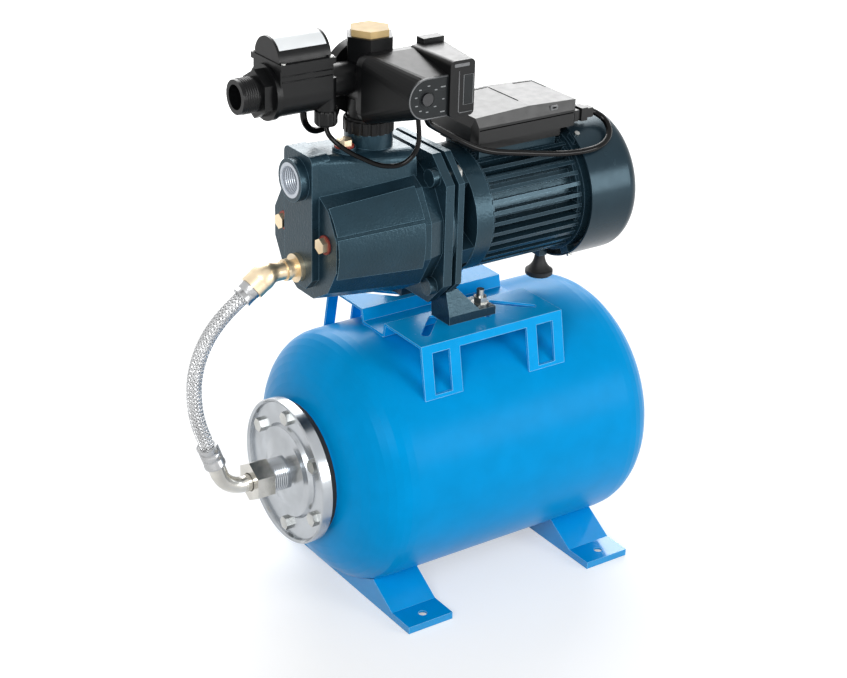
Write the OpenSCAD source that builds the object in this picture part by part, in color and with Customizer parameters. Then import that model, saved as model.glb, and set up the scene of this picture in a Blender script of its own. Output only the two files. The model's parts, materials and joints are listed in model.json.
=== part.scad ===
// Booster pump set for a house water supply: a self-priming jet pump with an electronic pressure
// control and a flow sensor, bolted on a horizontal pressure tank and joined to it by a hose.
// Millimetres, Z up. X runs along the tank and the pump shaft, the suction side faces -X.

/* [Tank] */
// Outer radius of the pressure tank
tank_r = 135; // [125:1:145]
// Wall of the tank shell
tank_wall = 1.5; // [1.2:0.1:2.5]
// Length of the cylindrical part of the tank
tank_straight = 272; // [250:2:300]
// Depth of each domed end
dome_depth = 63.4; // [55:0.2:75]
// Roundness of the dome outline, 2 is an ellipse
dome_power = 2.2; // [2:0.1:2.6]
// Gap between the lowest line of the tank and the floor
tank_clear = 13; // [10:1:20]
// Outer radius of the mounting ring in the front dome
neck_r = 70; // [66:1:74]
// Bore radius of the mounting ring
neck_bore_r = 48; // [40:1:52]
// How far the ring stands out of the dome
neck_proud = 3; // [2:0.5:8]
// Thickness of the rubber bladder
bladder_wall = 2; // [1.5:0.1:3]
// Thickness of the bladder lip under the flange
bladder_lip = 4; // [3:0.5:6]
// Outer radius of the bladder bag
bladder_r = 98; // [80:1:110]
// Radius of the air valve
air_valve_r = 6; // [5:0.5:8]
// Radius of the air valve cap
air_cap_r = 9.5; // [9:0.5:14]
// Free length of the air valve cap
air_cap_len = 15; // [13:1:20]

/* [Tank flange] */
// Outer radius of the pressed flange with its curled rim
flange_r = 76.9; // [75:0.1:82]
// Sheet thickness of the flange
flange_t = 2.5; // [2:0.1:4]
// Radius of the flange bolt circle
flange_pcd_r = 61; // [59:0.5:63]
// Number of flange bolts
flange_bolt_count = 6; // [4:1:8]
// Shank diameter of the flange and pump bolts
bolt_d = 8; // [6:0.5:8.5]
// Width across flats of the bolt heads
bolt_af = 13; // [12:0.5:14]
// Height of a bolt head
bolt_head_h = 5.3; // [4:0.1:7]

/* [Tank feet] */
// Distance from the seam of a dome to the middle of its foot
foot_inset = 18.7; // [10:0.1:30]
// Width of a foot along the tank
foot_w = 54.7; // [45:0.1:65]
// Half the spread of a foot across the tank
foot_reach = 133.2; // [125:0.2:145]
// Height of the flat end of a foot
foot_pad_h = 8; // [6:0.5:10]
// Length of the flat end of a foot
foot_pad_len = 32; // [28:1:36]
// Half the distance between the two holes of a foot
foot_hole_y = 117.9; // [112:0.1:122]
// Hole diameter in the feet
foot_hole_d = 9; // [7:0.5:11]
// Sheet thickness of feet and platform
sheet_t = 2.5; // [2:0.1:3]

/* [Platform] */
// Length of the platform along the tank
plate_len = 176; // [166:1:190]
// Distance of the platform middle before the tank middle
plate_off = 19; // [10:1:24]
// Half the width of the flat top
plate_half_w = 87.2; // [84:0.2:92]
// Height of the top above the tank
plate_rise = 15.4; // [12:0.1:20]
// Half the width of the groove in the middle
groove_half_w = 18; // [14:1:22]
// Sideways run of each groove flank
groove_flank = 3; // [2:0.5:6]
// Splay of the side walls from upright, degrees
plate_splay = 10.5; // [8:0.5:14]
// Width of the large window in each side wall
window_w = 84; // [70:1:90]
// Width of the small window in each leg
leg_window_w = 21; // [14:1:24]
// Width of the slots in the platform top
slot_w = 9.5; // [9:0.5:11]
// Length of the slanted slots between their end centres
slot_len = 42; // [36:1:50]

/* [Pump casing] */
// Height of the shaft above the platform
axis_h = 102; // [98:1:110]
// X of the front face of the casing
casing_front_x = -196; // [-200:1:-190]
// X of the joint face of the casing
casing_rear_x = -59; // [-64:1:-56]
// Thickness of the casing flange
casing_flange_t = 10; // [8:1:14]
// Radius of the casing barrel at its front
barrel_front_r = 60; // [56:1:64]
// Radius of the casing barrel behind
barrel_rear_r = 72; // [70:1:76]
// Half the width of the octagonal joint flange
joint_half_w = 68; // [66:1:74]
// Half the height of the octagonal joint flange
joint_half_h = 79; // [76:1:84]
// Corner cut of the octagonal joint flange
joint_corner = 26; // [22:1:30]
// Bore radius of the casing for diffuser and bracket
casing_bore_r = 60; // [58:0.5:62]
// Radius of the water chamber
chamber_r = 50; // [46:1:52]
// Height of the suction port above the shaft
suction_h = 64; // [60:1:68]
// Radius of the suction port bore
suction_r = 15.2; // [13:0.1:16]
// Outer radius of the suction port boss
suction_boss_r = 21.5; // [20:0.5:24]
// How far the port boss stands before the front face
suction_proud = 9; // [6:0.5:12]
// Depth of the threaded suction port
suction_depth = 18; // [15:1:22]
// Height of the casing top above the shaft
casing_top_h = 92; // [90:1:96]
// Half the width of the ridge on the casing top
ridge_half_w = 26; // [22:1:30]
// X of the discharge riser
riser_x = -116; // [-120:1:-113]
// Height of the discharge boss above the shaft
discharge_h = 101; // [98:1:106]
// Bore radius of the discharge
discharge_r = 14; // [12:0.5:15]
// Depth of the hose port below the shaft
hose_port_drop = 28; // [24:1:32]
// Half the distance between the two drain plugs
plug_y = 38; // [34:1:42]
// Height of the drain plugs above the shaft
plug_h = 7; // [3:1:11]
// Shank radius of the brass plugs
plug_r = 6.5; // [5:0.5:7]
// Width across flats of the brass plugs
plug_af = 14; // [12:1:16]
// X of the filling plug
fill_plug_x = -152; // [-158:1:-151]
// Y of the filling plug
fill_plug_y = -13; // [-16:1:-8]
// Thickness of the red sealing washers
washer_t = 1.6; // [1:0.1:3]
// Radius of the red sealing washers
washer_r = 9.6; // [9:0.1:12]

/* [Hydraulics] */
// Radius of the impeller
impeller_r = 50; // [44:1:52]
// Thickness of the whole impeller
impeller_w = 9; // [8:0.5:11]
// Radius of the impeller eye
eye_r = 15; // [13:0.5:17]
// Number of impeller blades
blade_count = 7; // [5:1:9]
// Thickness of blades and shrouds
blade_t = 1.6; // [1.2:0.1:2]
// Bore radius at the throat of the venturi
throat_r = 6; // [5:0.5:8]
// Bore radius of the ejector nozzle
nozzle_r = 3.5; // [3:0.1:4.5]

/* [Bracket] */
// Thickness of the bracket flange
bracket_t = 7; // [6:0.5:10]
// Depth of the dark groove between the two flanges
joint_gap = 5; // [4:0.5:8]
// Thickness of the rubber joint gasket
gasket_t = 1.5; // [1:0.1:2]
// Length of the open lantern
lantern_len = 19; // [16:1:24]
// Outer radius of the motor ring of the bracket
ring_r = 66; // [62:1:68]
// Length of the motor ring
ring_len = 20; // [16:1:24]
// Thickness of a lantern rib
rib_t = 22; // [16:1:26]
// Half the distance between the pump feet holes
pump_hole_y = 46; // [42:1:48]
// Length of a pump foot along the shaft
pump_foot_len = 58; // [54:1:64]
// Thickness of a pump foot
pump_foot_t = 9; // [7:1:12]

/* [Motor] */
// Radius of the stator pack
stator_r = 50; // [48:0.5:51]
// Wall of the motor housing under its fins
housing_wall = 4; // [3:0.5:6]
// Radius over the cooling fins
fin_r = 66; // [64:0.5:68]
// Thickness of a cooling fin
fin_t = 4; // [3:0.1:5]
// Number of cooling fins all round
fin_count = 36; // [28:8:44]
// Length of the motor housing
housing_len = 114; // [108:1:120]
// Length of the stator pack
stator_len = 60; // [54:1:64]
// Radius of the rotor
rotor_r = 29; // [26:0.5:30]
// Air gap between rotor and stator
air_gap = 0.4; // [0.3:0.05:0.6]
// Radius of the shaft in its bearings
shaft_r = 7.5; // [6:0.5:8]
// Outer radius of the bearings
bearing_r = 17.5; // [16:0.5:18]
// Width of a bearing
bearing_w = 11; // [9:1:12]
// Thickness of the rear shield
shield_t = 14; // [13:1:18]
// Radius of the fan cover
cover_r = 77; // [74:0.5:80]
// Length of the fan cover
cover_len = 66; // [60:1:72]
// Wall of the fan cover
cover_wall = 1.8; // [1.4:0.1:2.5]
// Rounding of the rear edge of the fan cover
cover_round = 15; // [10:1:18]
// Radius of the fan
fan_r = 60; // [54:1:64]
// Number of fan blades
fan_blades = 7; // [5:1:9]
// Radius of the stem of the motor foot
stem_r = 5.5; // [4.5:0.5:6]
// Radius of the base of the motor foot
stem_base_r = 15; // [12:0.5:18]

/* [Terminal box] */
// Front end of the terminal box
box_x = -18; // [-20:1:-14]
// Length of the terminal box
box_len = 132; // [126:1:136]
// Width of the terminal box
box_w = 82; // [76:1:88]
// Height of the box seam above the shaft
box_seam_h = 92; // [90:1:96]
// Wall of the terminal box
box_wall = 3; // [2:0.5:4]
// Height of the raised front half of the lid
lid_h = 15.5; // [12:0.5:20]
// Radius of the start capacitor
capacitor_r = 9.5; // [8:0.5:10]

/* [Pressure control] */
// Radius of the knurled ring nut
ring_nut_r = 25; // [24:0.5:28]
// Height of the ring nut
ring_nut_h = 12; // [10:1:14]
// Radius of the riser body
riser_r = 21; // [20:0.5:22]
// Height of the hexagonal collar top above the shaft
collar_h = 196; // [192:1:200]
// Width across flats of the top collar
collar_af = 43; // [40:1:43]
// Width across flats of the brass top plug
top_plug_af = 36; // [34:1:38]
// Bore radius of the riser
riser_bore_r = 14; // [13:0.5:15]
// Half the height of the control back plate
control_half_h = 34; // [30:1:38]
// Width of the control back plate
control_w = 100; // [94:1:106]
// Y of the front panel of the control
panel_y = -88; // [-92:1:-84]
// Radius of the rounded end of the front panel
panel_r = 20; // [18:1:22]
// Radius of the restart button
button_r = 6; // [5:0.5:8]
// Stroke of the restart button
button_travel = 2; // [1:0.5:3]

/* [Flow sensor] */
// Height of the outlet above the shaft
outlet_h = 156; // [152:1:160]
// Outer radius of the threaded outlet nozzle
outlet_r = 16.6; // [16:0.1:17]
// Bore radius through the flow sensor
sensor_bore_r = 12; // [11:0.5:13]
// X of the outlet tip
outlet_x = -263; // [-268:1:-260]
// Length of the outlet thread
outlet_len = 20; // [16:1:24]
// Length of the sensor body
sensor_len = 63; // [58:1:66]
// Radius of the sensor body
sensor_r = 25; // [23:0.5:27]
// Width of the sensor cover
sensor_w = 46; // [42:1:50]
// Radius of the turbine wheel
turbine_r = 11; // [10:0.5:11.5]

/* [Hose] */
// Radius of the braided hose
hose_r = 7.8; // [6:0.2:9]
// Radius of the crimped ferrules
ferrule_r = 10.5; // [9:0.5:12]
// Length of a crimped ferrule
ferrule_len = 26; // [20:1:30]
// Radius of the steel elbow pipe
elbow_r = 8.5; // [7:0.5:9]
// Bend radius of the steel elbow pipe
elbow_bend = 30; // [26:1:36]
// Width across flats of the swivel nut
swivel_af = 37; // [35:1:41]
// Length of the swivel nut
swivel_len = 20; // [16:1:24]
// Radius of the brass elbow
brass_r = 9; // [8:0.5:11]

/* [Fits] */
// Radial running clearance of a shaft in its bearing
run_gap = 0.04; // [0.02:0.01:0.08]
// Clearance round bolts and loose fits
hole_gap = 0.5; // [0.3:0.1:1]
// Clearance round moving rubber and plastic pieces
free_gap = 0.5; // [0.3:0.1:1]

/* [Hidden] */
round_fn = 96;
small_fn = 48;

// Tank stations
tank_z = tank_r + tank_clear;
foot_pitch = tank_straight - 2 * foot_inset;
dome_end_x = tank_straight / 2 + dome_depth;
neck_face_x = -(dome_end_x + neck_proud);
neck_len = 11;
lip_face_x = neck_face_x - bladder_lip;
bladder_mid_x = -20;
bladder_half_len = 80;
bladder_dome = 66;
bladder_mouth_x = bladder_mid_x - bladder_half_len - bladder_dome + 11;
bolt_r = bolt_d / 2;
bolt_grip = 8;
air_boss = 2;
air_cap_x = dome_end_x + air_boss + 3;
air_cap_end_x = air_cap_x + air_cap_len;
air_pin_r = 1;
air_stem_r = air_valve_r - 2;

// Pressed flange, stations measured outward from the bladder lip
flange_step_r = 50;
flange_dome_r = 22;
flange_step = 4;
flange_boss = 9;
rim_w = 2.4;
rim_front = 7.8;
nipple_r = 16.6;
nipple_bore_r = 12.5;
nipple_len = 42;
nipple_tip_x = lip_face_x - nipple_len;

// Platform stations
groove_z = 2 * tank_r + tank_clear;
plate_z = groove_z + plate_rise;
plate_x0 = -plate_off - plate_len / 2;
plate_x1 = -plate_off + plate_len / 2;
wall_drop = 56;
wall_foot_y = plate_half_w + wall_drop * tan(plate_splay);
leg_w = (plate_len - window_w) / 2;
window_top = 9;
window_bottom = 52;
slot_spread = 52;
slot_y = 49;
pump_hole_x = -6;
pump_foot_half = 16;

// Pump stations, heights ending in _h are measured from the shaft
axis_z = plate_z + axis_h;
barrel_end_x = casing_rear_x - 27;
bracket_front_x = casing_rear_x + joint_gap;
bracket_rear_x = bracket_front_x + bracket_t;
ring_front_x = bracket_rear_x + lantern_len;
ring_rear_x = ring_front_x + ring_len;
spigot_x = casing_rear_x - 3;
joint_seal_r = casing_bore_r + 7;
joint_bolt_y = joint_half_w - joint_corner * 0.72;
joint_bolt_z = joint_half_h - joint_corner * 0.82;
lantern_angles = [52, 128, 208, 332];
ridge_rear_half_w = 36;
ridge_round = 12;
ridge_drop = 8;
joint_boss_r = 9;
joint_boss_len = 8;
block_bottom_h = -46;
block_cut = 12;
block_round = 8;
ridge_inset = 0.6;
plug_sink = 8;
plug_shank = 10;
fill_boss_h = casing_top_h + 1;
hose_thread = 6;

// Water ways and ejector
passage_r = 10;
passage_x = casing_front_x + 26;
wet_wall_x = passage_x + passage_r + 6;
venturi_front_x = passage_x + passage_r;
venturi_r = 12;
nozzle_back_x = casing_front_x + 9;
nozzle_body_r = 6;
nozzle_len = 24;

// Impeller and seal
impeller_rear_x = casing_rear_x - 12;
impeller_front_x = impeller_rear_x - impeller_w;
diffuser_plate_t = 4;
diffuser_front_x = impeller_front_x - 2.5 - diffuser_plate_t;
throat_x = diffuser_front_x - 60;
impeller_hub_r = 10;
impeller_bore_r = 6;
hub_proud = 2;
nut_h = 6.5;
nut_af = 13;
shaft_tip_r = 4;
shaft_front_x = impeller_front_x - hub_proud - nut_h - 1.5;
shaft_seal_r = 7;
seal_r = 14;
seat_front_x = spigot_x;
seat_rear_x = spigot_x + 6;
seal_gap = 0.3;

// Motor stations
housing_x = ring_rear_x;
housing_rear_x = housing_x + housing_len;
housing_r = stator_r + housing_wall;
shield_rear_x = housing_rear_x + shield_t;
cover_x = shield_rear_x - 10;
cover_rear_x = cover_x + cover_len;
cover_in_r = cover_r - cover_wall;
cover_screw_x = (cover_x + shield_rear_x) / 2;
cover_lugs = [0, 120, 240];
screw_r = 1.4;
stator_x = housing_x + 24;
winding_end = 12;
slot_bar_r = 4;
rotor_bore_r = 10;
front_bearing_x = ring_rear_x - bearing_w - 2;
rear_bearing_x = housing_rear_x;
bearing_bore_r = shaft_r + run_gap;
hub_r = bearing_r + 5;
tie_rod_r = 2.2;
fan_x = shield_rear_x + 6;
fan_len = 30;
fan_hub_r = 12;
fan_bore_r = 6;
shaft_rear_x = fan_x + fan_len - 2;
grille_rings = 6;
grille_step = 9;
stem_x = housing_rear_x + 0.5;
stem_top_h = -cover_r - free_gap;
stem_base_h = 7;
stem_flare = 20;

// Terminal box
box_x1 = box_x + box_len;
plinth_h = fin_r + 1.5;
box_floor_h = fin_r + 12;
lid_end_drop = 2.5;
gland_y = -28;
gland_r = 6;
gland_h = box_floor_h + 7;
gland_len = 26;

// Riser and pressure control
riser_neck_r = 18;
collar_len = 24;
top_thread = 14;
top_bore_r = 16;
top_plug_h = 6.5;
tee_r = 16;
control_x0 = riser_x - 27;
control_x1 = control_x0 + control_w;
control_h = outlet_h - 6;
plate_y0 = -riser_r - 1;
plate_t = 8;
back_cover_r = 38;
back_cover_y = 24;
back_cover_t = 12;
column_x0 = riser_x + 31;
column_x1 = column_x0 + 28;
panel_x = column_x0 - panel_r - 4;
panel_h = outlet_h - 2;
panel_t = 2;
button_depth = 8;
check_seat_h = discharge_h + ring_nut_h + 6;
check_r = riser_bore_r - free_gap;
check_neck_r = riser_bore_r - 3;

// Flow sensor
sensor_x = outlet_x + outlet_len + 14;
sensor_rear_x = sensor_x + sensor_len;
sensor_top_h = outlet_h + 32;
outlet_hex_af = 41;
turbine_x = sensor_x + 24;
turbine_len = 14;
axle_r = 1.5;
gland2_x = sensor_rear_x - 6;
gland2_y = -12;
gland2_r = 9.5;
sensor_screw_x = [sensor_x + 3, sensor_rear_x - 9];
sensor_screw_y = sensor_w / 2 + screw_r + 1.1;

// Hose ends
swivel_tip_x = nipple_tip_x - 6;
elbow_start_x = swivel_tip_x - 6;
elbow_turn = 70;
sleeve_r = elbow_r + 0.4;
ferrule_tilt = 90 - elbow_turn;
elbow_end_x = elbow_start_x - elbow_bend * sin(elbow_turn);
elbow_end_z = tank_z + elbow_bend * (1 - cos(elbow_turn));
elbow_tail = 12;
hose_low_x = elbow_end_x - elbow_tail * sin(ferrule_tilt);
hose_low_z = elbow_end_z + elbow_tail * cos(ferrule_tilt);
ferrule_grip = 6;
hose_port_z = axis_z - hose_port_drop;
brass_turn = 35;
brass_bend = 22;
brass_bend_x = casing_front_x - 30;
brass_end_x = brass_bend_x - brass_bend * sin(brass_turn);
brass_end_z = hose_port_z - brass_bend * (1 - cos(brass_turn));
brass_nut_len = 12;
upper_ferrule_len = 14;
hose_top_x = brass_end_x - (brass_nut_len + upper_ferrule_len) * cos(brass_turn);
hose_top_z = brass_end_z - (brass_nut_len + upper_ferrule_len) * sin(brass_turn);

// Middle of the object along X, between the lower ferrule and the air valve cap
object_x_min = hose_low_x - ferrule_len * sin(ferrule_tilt) - ferrule_r * cos(ferrule_tilt);
mid_x = (object_x_min + air_cap_end_x) / 2;

// Cord routes, chosen by hand along the real ones
hose_points = [
    [-299.5, 0, 198], [-304, 0, 211], [-309, 0, 226], [-312.5, 0, 242], [-314, 0, 258],
    [-313.5, 0, 275], [-310.5, 0, 291], [-305, 0, 306], [-297, 0, 320], [-287, 0, 332],
    [-276, 0, 342], [-265, 0, 350], [-255, 0, 357]
];
motor_lead_points = [
    [132, -28, 485.4], [140, -28, 485.2], [147.5, -30.5, 481.5], [152.5, -36, 476.5], [152.5, -43.5, 471],
    [148, -51, 465.5], [139.5, -56.5, 461], [128, -60, 458.2], [113, -61, 457], [95, -59.5, 457],
    [74, -57.5, 459], [54, -55, 462], [34, -53, 465.5], [14, -51, 469], [-4, -49, 473],
    [-20, -48, 479], [-35, -47, 487], [-49, -47, 495.5], [-62, -48, 503.5], [-74, -51, 511],
    [-83, -55, 517.5], [-88, -59, 525], [-89, -60, 534]
];
sensor_lead_points = [
    [-172, -12, 524.4], [-172, -12.5, 517], [-172, -16, 510.5], [-169.5, -22, 505], [-164, -28, 499],
    [-155.5, -33.5, 492.5], [-145, -39, 486.5], [-134.5, -45, 481.5], [-124, -50, 479.5], [-114, -54, 480.5],
    [-106.5, -57, 485], [-101, -59, 492], [-98, -60, 501], [-97.5, -60, 511], [-98.5, -60, 521],
    [-100, -60, 534]
];
link_lead_points = [
    [-187, 4, 537], [-187, 4.5, 529], [-185, 6.5, 520], [-179, 10, 511], [-171, 14, 505],
    [-162, 17.5, 502.5], [-153, 20, 503.5], [-145.5, 21, 508.5], [-141, 20, 516.5], [-140, 19.5, 528]
];
motor_lead_r = 3.2;
sensor_lead_r = 2.4;
link_lead_r = 3.4;
cord_sides = 8;
hose_sides = 12;
link_start = link_lead_points[0];
link_end = link_lead_points[len(link_lead_points) - 1];
lead_sockets = [
    [motor_lead_points[len(motor_lead_points) - 1], motor_lead_r],
    [sensor_lead_points[len(sensor_lead_points) - 1], sensor_lead_r]
];

// Shapes shared by the sub-parts

module here() translate([-mid_x, 0, 0]) children();

module on_axis() here() translate([0, 0, axis_z]) children();

module rod(x0, x1, r) translate([x0, 0, 0]) rotate([0, 90, 0]) cylinder(r = r, h = x1 - x0, $fn = round_fn);

module taper(x0, x1, r0, r1) translate([x0, 0, 0]) rotate([0, 90, 0])
    cylinder(r1 = r0, r2 = r1, h = x1 - x0, $fn = round_fn);

module ring(x0, x1, r_out, r_in) difference() {
    rod(x0, x1, r_out);
    rod(x0 - 1, x1 + 1, r_in);
}

// Turned shape round the X axis, points are [radius, x]
module turned(points) rotate([0, 90, 0]) rotate_extrude($fn = round_fn) polygon(points);

// Hexagonal prism along X, af is the width across flats
module hex_x(x0, x1, af) translate([x0, 0, 0]) rotate([0, 90, 0])
    cylinder(r = af / 2 / cos(30), h = x1 - x0, $fn = 6);

module hex_z(z0, z1, af) translate([0, 0, z0]) cylinder(r = af / 2 / cos(30), h = z1 - z0, $fn = 6);

module post(z0, z1, r) translate([0, 0, z0]) cylinder(r = r, h = z1 - z0, $fn = round_fn);

// Hex bolt along +X with its head seat at x = 0, the shank points to +X
module bolt_x(len) {
    hex_x(-bolt_head_h, 0, bolt_af);
    rod(0, len, bolt_r);
}

// Copies round the X axis
module round_x(count, start) for (i = [0 : count - 1]) rotate([start + i * 360 / count, 0, 0]) children();

// Rounded rectangle in the XZ plane, extruded from y0 to y1
module slab_y(x0, x1, z0, z1, y0, y1, r) hull() for (x = [x0 + r, x1 - r], z = [z0 + r, z1 - r])
    translate([x, y0, z]) rotate([-90, 0, 0]) cylinder(r = r, h = y1 - y0, $fn = 32);

// Smooth tube swept along points: rings of vertices square to the run of the route
function cord_dir(p, i) = let (a = p[max(i - 1, 0)], b = p[min(i + 1, len(p) - 1)]) (b - a) / norm(b - a);
function cord_side(d, up) = let (s = cross(up, d)) s / norm(s);
function cord_ring(c, s, v, r, n) = [for (k = [0 : n - 1])
    c + r * (cos(360 * k / n) * s + sin(360 * k / n) * v)];
function cord_rings(p, r, n, up) = [for (i = [0 : len(p) - 1])
    let (d = cord_dir(p, i), s = cord_side(d, up)) each cord_ring(p[i], s, cross(d, s), r, n)];
function cord_skin(m, n) = [for (i = [0 : m - 2], k = [0 : n - 1], e = [0, 1]) e == 0
    ? [i * n + k, (i + 1) * n + k, (i + 1) * n + (k + 1) % n]
    : [i * n + k, (i + 1) * n + (k + 1) % n, i * n + (k + 1) % n]];

module cord(p, r, n, up) polyhedron(
    points = cord_rings(p, r, n, up),
    faces = concat(
        [[for (k = [0 : n - 1]) k]],
        cord_skin(len(p), n),
        [[for (k = [n - 1 : -1 : 0]) (len(p) - 1) * n + k]]
    ),
    convexity = 6
);

// Pressure tank

dome_steps = 14;

function dome_point(r, depth, a) = [r * pow(cos(a), 2 / dome_power), depth * pow(sin(a), 2 / dome_power)];

// Half outline of a vessel with domed ends, from the front pole to the rear pole
function vessel(r, depth, half) = concat(
    [for (i = [0 : dome_steps]) let (q = dome_point(r, depth, 90 - 90 * i / dome_steps))
        [q[0], -half - q[1]]],
    [for (i = [0 : dome_steps]) let (q = dome_point(r, depth, 90 * i / dome_steps)) [q[0], half + q[1]]]
);

module at_flange_bolts() round_x(flange_bolt_count, 30) translate([0, flange_pcd_r, 0]) children();

module tank_shell() color("deepskyblue") here() translate([0, 0, tank_z]) difference() {
    union() {
        turned(vessel(tank_r, dome_depth, tank_straight / 2));
        rod(neck_face_x, neck_face_x + neck_len, neck_r);
        rod(dome_end_x - 4, dome_end_x + air_boss, air_valve_r + 5);
    }
    difference() {
        turned(vessel(tank_r - tank_wall, dome_depth - tank_wall, tank_straight / 2));
        ring(neck_face_x - 1, neck_face_x + neck_len, neck_r, neck_bore_r);
        rod(dome_end_x - 4, dome_end_x + air_boss, air_valve_r + 5);
    }
    rod(neck_face_x - 1, 0, neck_bore_r);
    rod(0, dome_end_x + 3, air_valve_r - 1);
    at_flange_bolts() rod(neck_face_x - 1, neck_face_x + bolt_grip, bolt_r);
}

// A foot is a pressed channel: a skin with turned-down sides, cut to the round of the tank
module foot_profile(t) difference() {
    polygon([
        [-foot_reach + t, 0], [-foot_reach + t, foot_pad_h - t],
        [-foot_reach + foot_pad_len, foot_pad_h - t], [-tank_r / 2 + 3, 30 - t],
        [tank_r / 2 - 3, 30 - t], [foot_reach - foot_pad_len, foot_pad_h - t],
        [foot_reach - t, foot_pad_h - t], [foot_reach - t, 0]
    ]);
    translate([0, tank_z]) circle(r = tank_r + t, $fn = 180);
}

module along_x(x0, x1) translate([x0, 0, 0]) rotate([90, 0, 90]) linear_extrude(x1 - x0) children();

module tank_foot(x) here() translate([x, 0, 0]) difference() {
    along_x(-foot_w / 2, foot_w / 2) foot_profile(0);
    translate([0, 0, -0.01]) along_x(-foot_w / 2 + sheet_t, foot_w / 2 - sheet_t) foot_profile(sheet_t);
    for (s = [-1, 1]) translate([0, s * foot_hole_y, -1])
        cylinder(d = foot_hole_d, h = foot_pad_h + 2, $fn = small_fn);
}

module tank_foot_front() color("deepskyblue") tank_foot(-foot_pitch / 2);

module tank_foot_rear() color("deepskyblue") tank_foot(foot_pitch / 2);

// Section of the bent platform sheet, t moves it inward by the sheet thickness
module platform_section(t) polygon([
    [-wall_foot_y + t, plate_z - wall_drop], [-plate_half_w + t, plate_z - t],
    [-groove_half_w - groove_flank - t, plate_z - t], [-groove_half_w - t, groove_z + sheet_t - t],
    [groove_half_w + t, groove_z + sheet_t - t], [groove_half_w + groove_flank + t, plate_z - t],
    [plate_half_w - t, plate_z - t], [wall_foot_y - t, plate_z - wall_drop]
]);

module platform_slot(x, y, turn, len) translate([x, y, 0]) rotate([0, 0, turn]) {
    translate([-len / 2, -slot_w / 2, plate_z - 8]) cube([len, slot_w, 10]);
    for (s = [-1, 1]) translate([s * len / 2, 0, plate_z - 8]) cylinder(d = slot_w, h = 10, $fn = small_fn);
}

module pump_platform() color("deepskyblue") here() difference() {
    along_x(plate_x0, plate_x1) difference() {
        platform_section(0);
        difference() {
            platform_section(sheet_t);
            translate([-groove_half_w, groove_z - 1]) square([2 * groove_half_w, sheet_t + 1]);
        }
        translate([0, tank_z]) circle(r = tank_r, $fn = 180);
    }
    for (s = [-1, 1]) {
        translate([-plate_off - window_w / 2, s * 95 - 25, plate_z - wall_drop - 1])
            cube([window_w, 50, wall_drop + 1 - window_top]);
        for (e = [-1, 1])
            translate([-plate_off + e * (window_w + leg_w) / 2 - leg_window_w / 2, s * 95 - 25,
                plate_z - window_bottom])
                cube([leg_window_w, 50, window_bottom - window_top]);
        for (e = [-1, 1]) platform_slot(-plate_off + e * slot_spread, s * slot_y, e * s * 45, slot_len);
        platform_slot(pump_hole_x, s * pump_hole_y, 90, slot_len - 18);
    }
}

module tank_bladder() color("dimgray") here() translate([0, 0, tank_z]) difference() {
    union() {
        rod(lip_face_x, neck_face_x, neck_r);
        rod(neck_face_x - 1, bladder_mouth_x, neck_bore_r);
        translate([bladder_mid_x, 0, 0]) turned(vessel(bladder_r, bladder_dome, bladder_half_len));
    }
    rod(lip_face_x - 1, bladder_mouth_x + 1, neck_bore_r - bladder_wall);
    translate([bladder_mid_x, 0, 0])
        turned(vessel(bladder_r - bladder_wall, bladder_dome - bladder_wall, bladder_half_len));
    at_flange_bolts() rod(lip_face_x - 1, neck_face_x + 1, bolt_r + hole_gap);
}

module tank_flange() color("silver") here() translate([lip_face_x, 0, tank_z]) difference() {
    turned([
        [nipple_bore_r, 0], [flange_r - rim_w, 0], [flange_r - rim_w, 4], [flange_r, 4],
            [flange_r, -rim_front + 1.2],
        [flange_r - 1.2, -rim_front], [flange_r - rim_w + 1, -rim_front],
            [flange_r - rim_w - 1, -rim_front + 2],
        [flange_r - rim_w - 2, -flange_t], [flange_step_r + 1, -flange_t],
            [flange_step_r - 2, -flange_t - flange_step],
        [flange_dome_r + 16, -flange_t - flange_step], [flange_dome_r + 3, -flange_boss - 1],
        [flange_dome_r, -flange_boss - 2], [nipple_r, -flange_boss - 2], [nipple_r, -nipple_len],
        [nipple_bore_r, -nipple_len]
    ]);
    turned([
        [nipple_bore_r + flange_t, 1], [flange_step_r - 3, 1], [flange_step_r - 5, -flange_step],
        [flange_dome_r + 14, -flange_step], [flange_dome_r, -flange_boss + 1],
            [nipple_bore_r + flange_t, -flange_boss + 1]
    ]);
    at_flange_bolts() rod(-flange_t - 1, 1, bolt_r + hole_gap);
}

module tank_flange_bolts() color("silver") here() translate([lip_face_x - flange_t, 0, tank_z])
    at_flange_bolts() bolt_x(flange_t + bladder_lip + bolt_grip);

// Air valve in the rear dome, under its screw cap

module air_valve_body() color("goldenrod") here() translate([0, 0, tank_z]) difference() {
    union() {
        rod(dome_end_x - 12, dome_end_x + air_boss, air_valve_r - 1);
        rod(dome_end_x + air_boss, air_cap_x, air_cap_r - 1);
        rod(air_cap_x - 1, air_cap_end_x - 6, air_stem_r);
    }
    rod(dome_end_x - 13, air_cap_end_x, air_pin_r + run_gap);
    rod(air_cap_end_x - 10, air_cap_end_x, air_stem_r - 1.2);
}

module air_valve_pin() color("silver") here() translate([0, 0, tank_z]) {
    rod(dome_end_x - 16, air_cap_end_x - 6.5, air_pin_r);
    rod(air_cap_end_x - 8, air_cap_end_x - 6.5, air_stem_r - 1.6);
}

module air_valve_cap() color("black") here() translate([0, 0, tank_z]) difference() {
    rod(air_cap_x, air_cap_end_x, air_cap_r);
    rod(air_cap_x - 1, air_cap_end_x - 2.5, air_stem_r);
    rod(air_cap_end_x - 8, air_cap_end_x - 2.5, air_stem_r + 1);
    round_x(12, 0) translate([0, air_cap_r + 0.6, 0]) rod(air_cap_x + 2, air_cap_end_x + 1, 1.4);
}

// Hose with its swivel nut, elbows and ferrules

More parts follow.
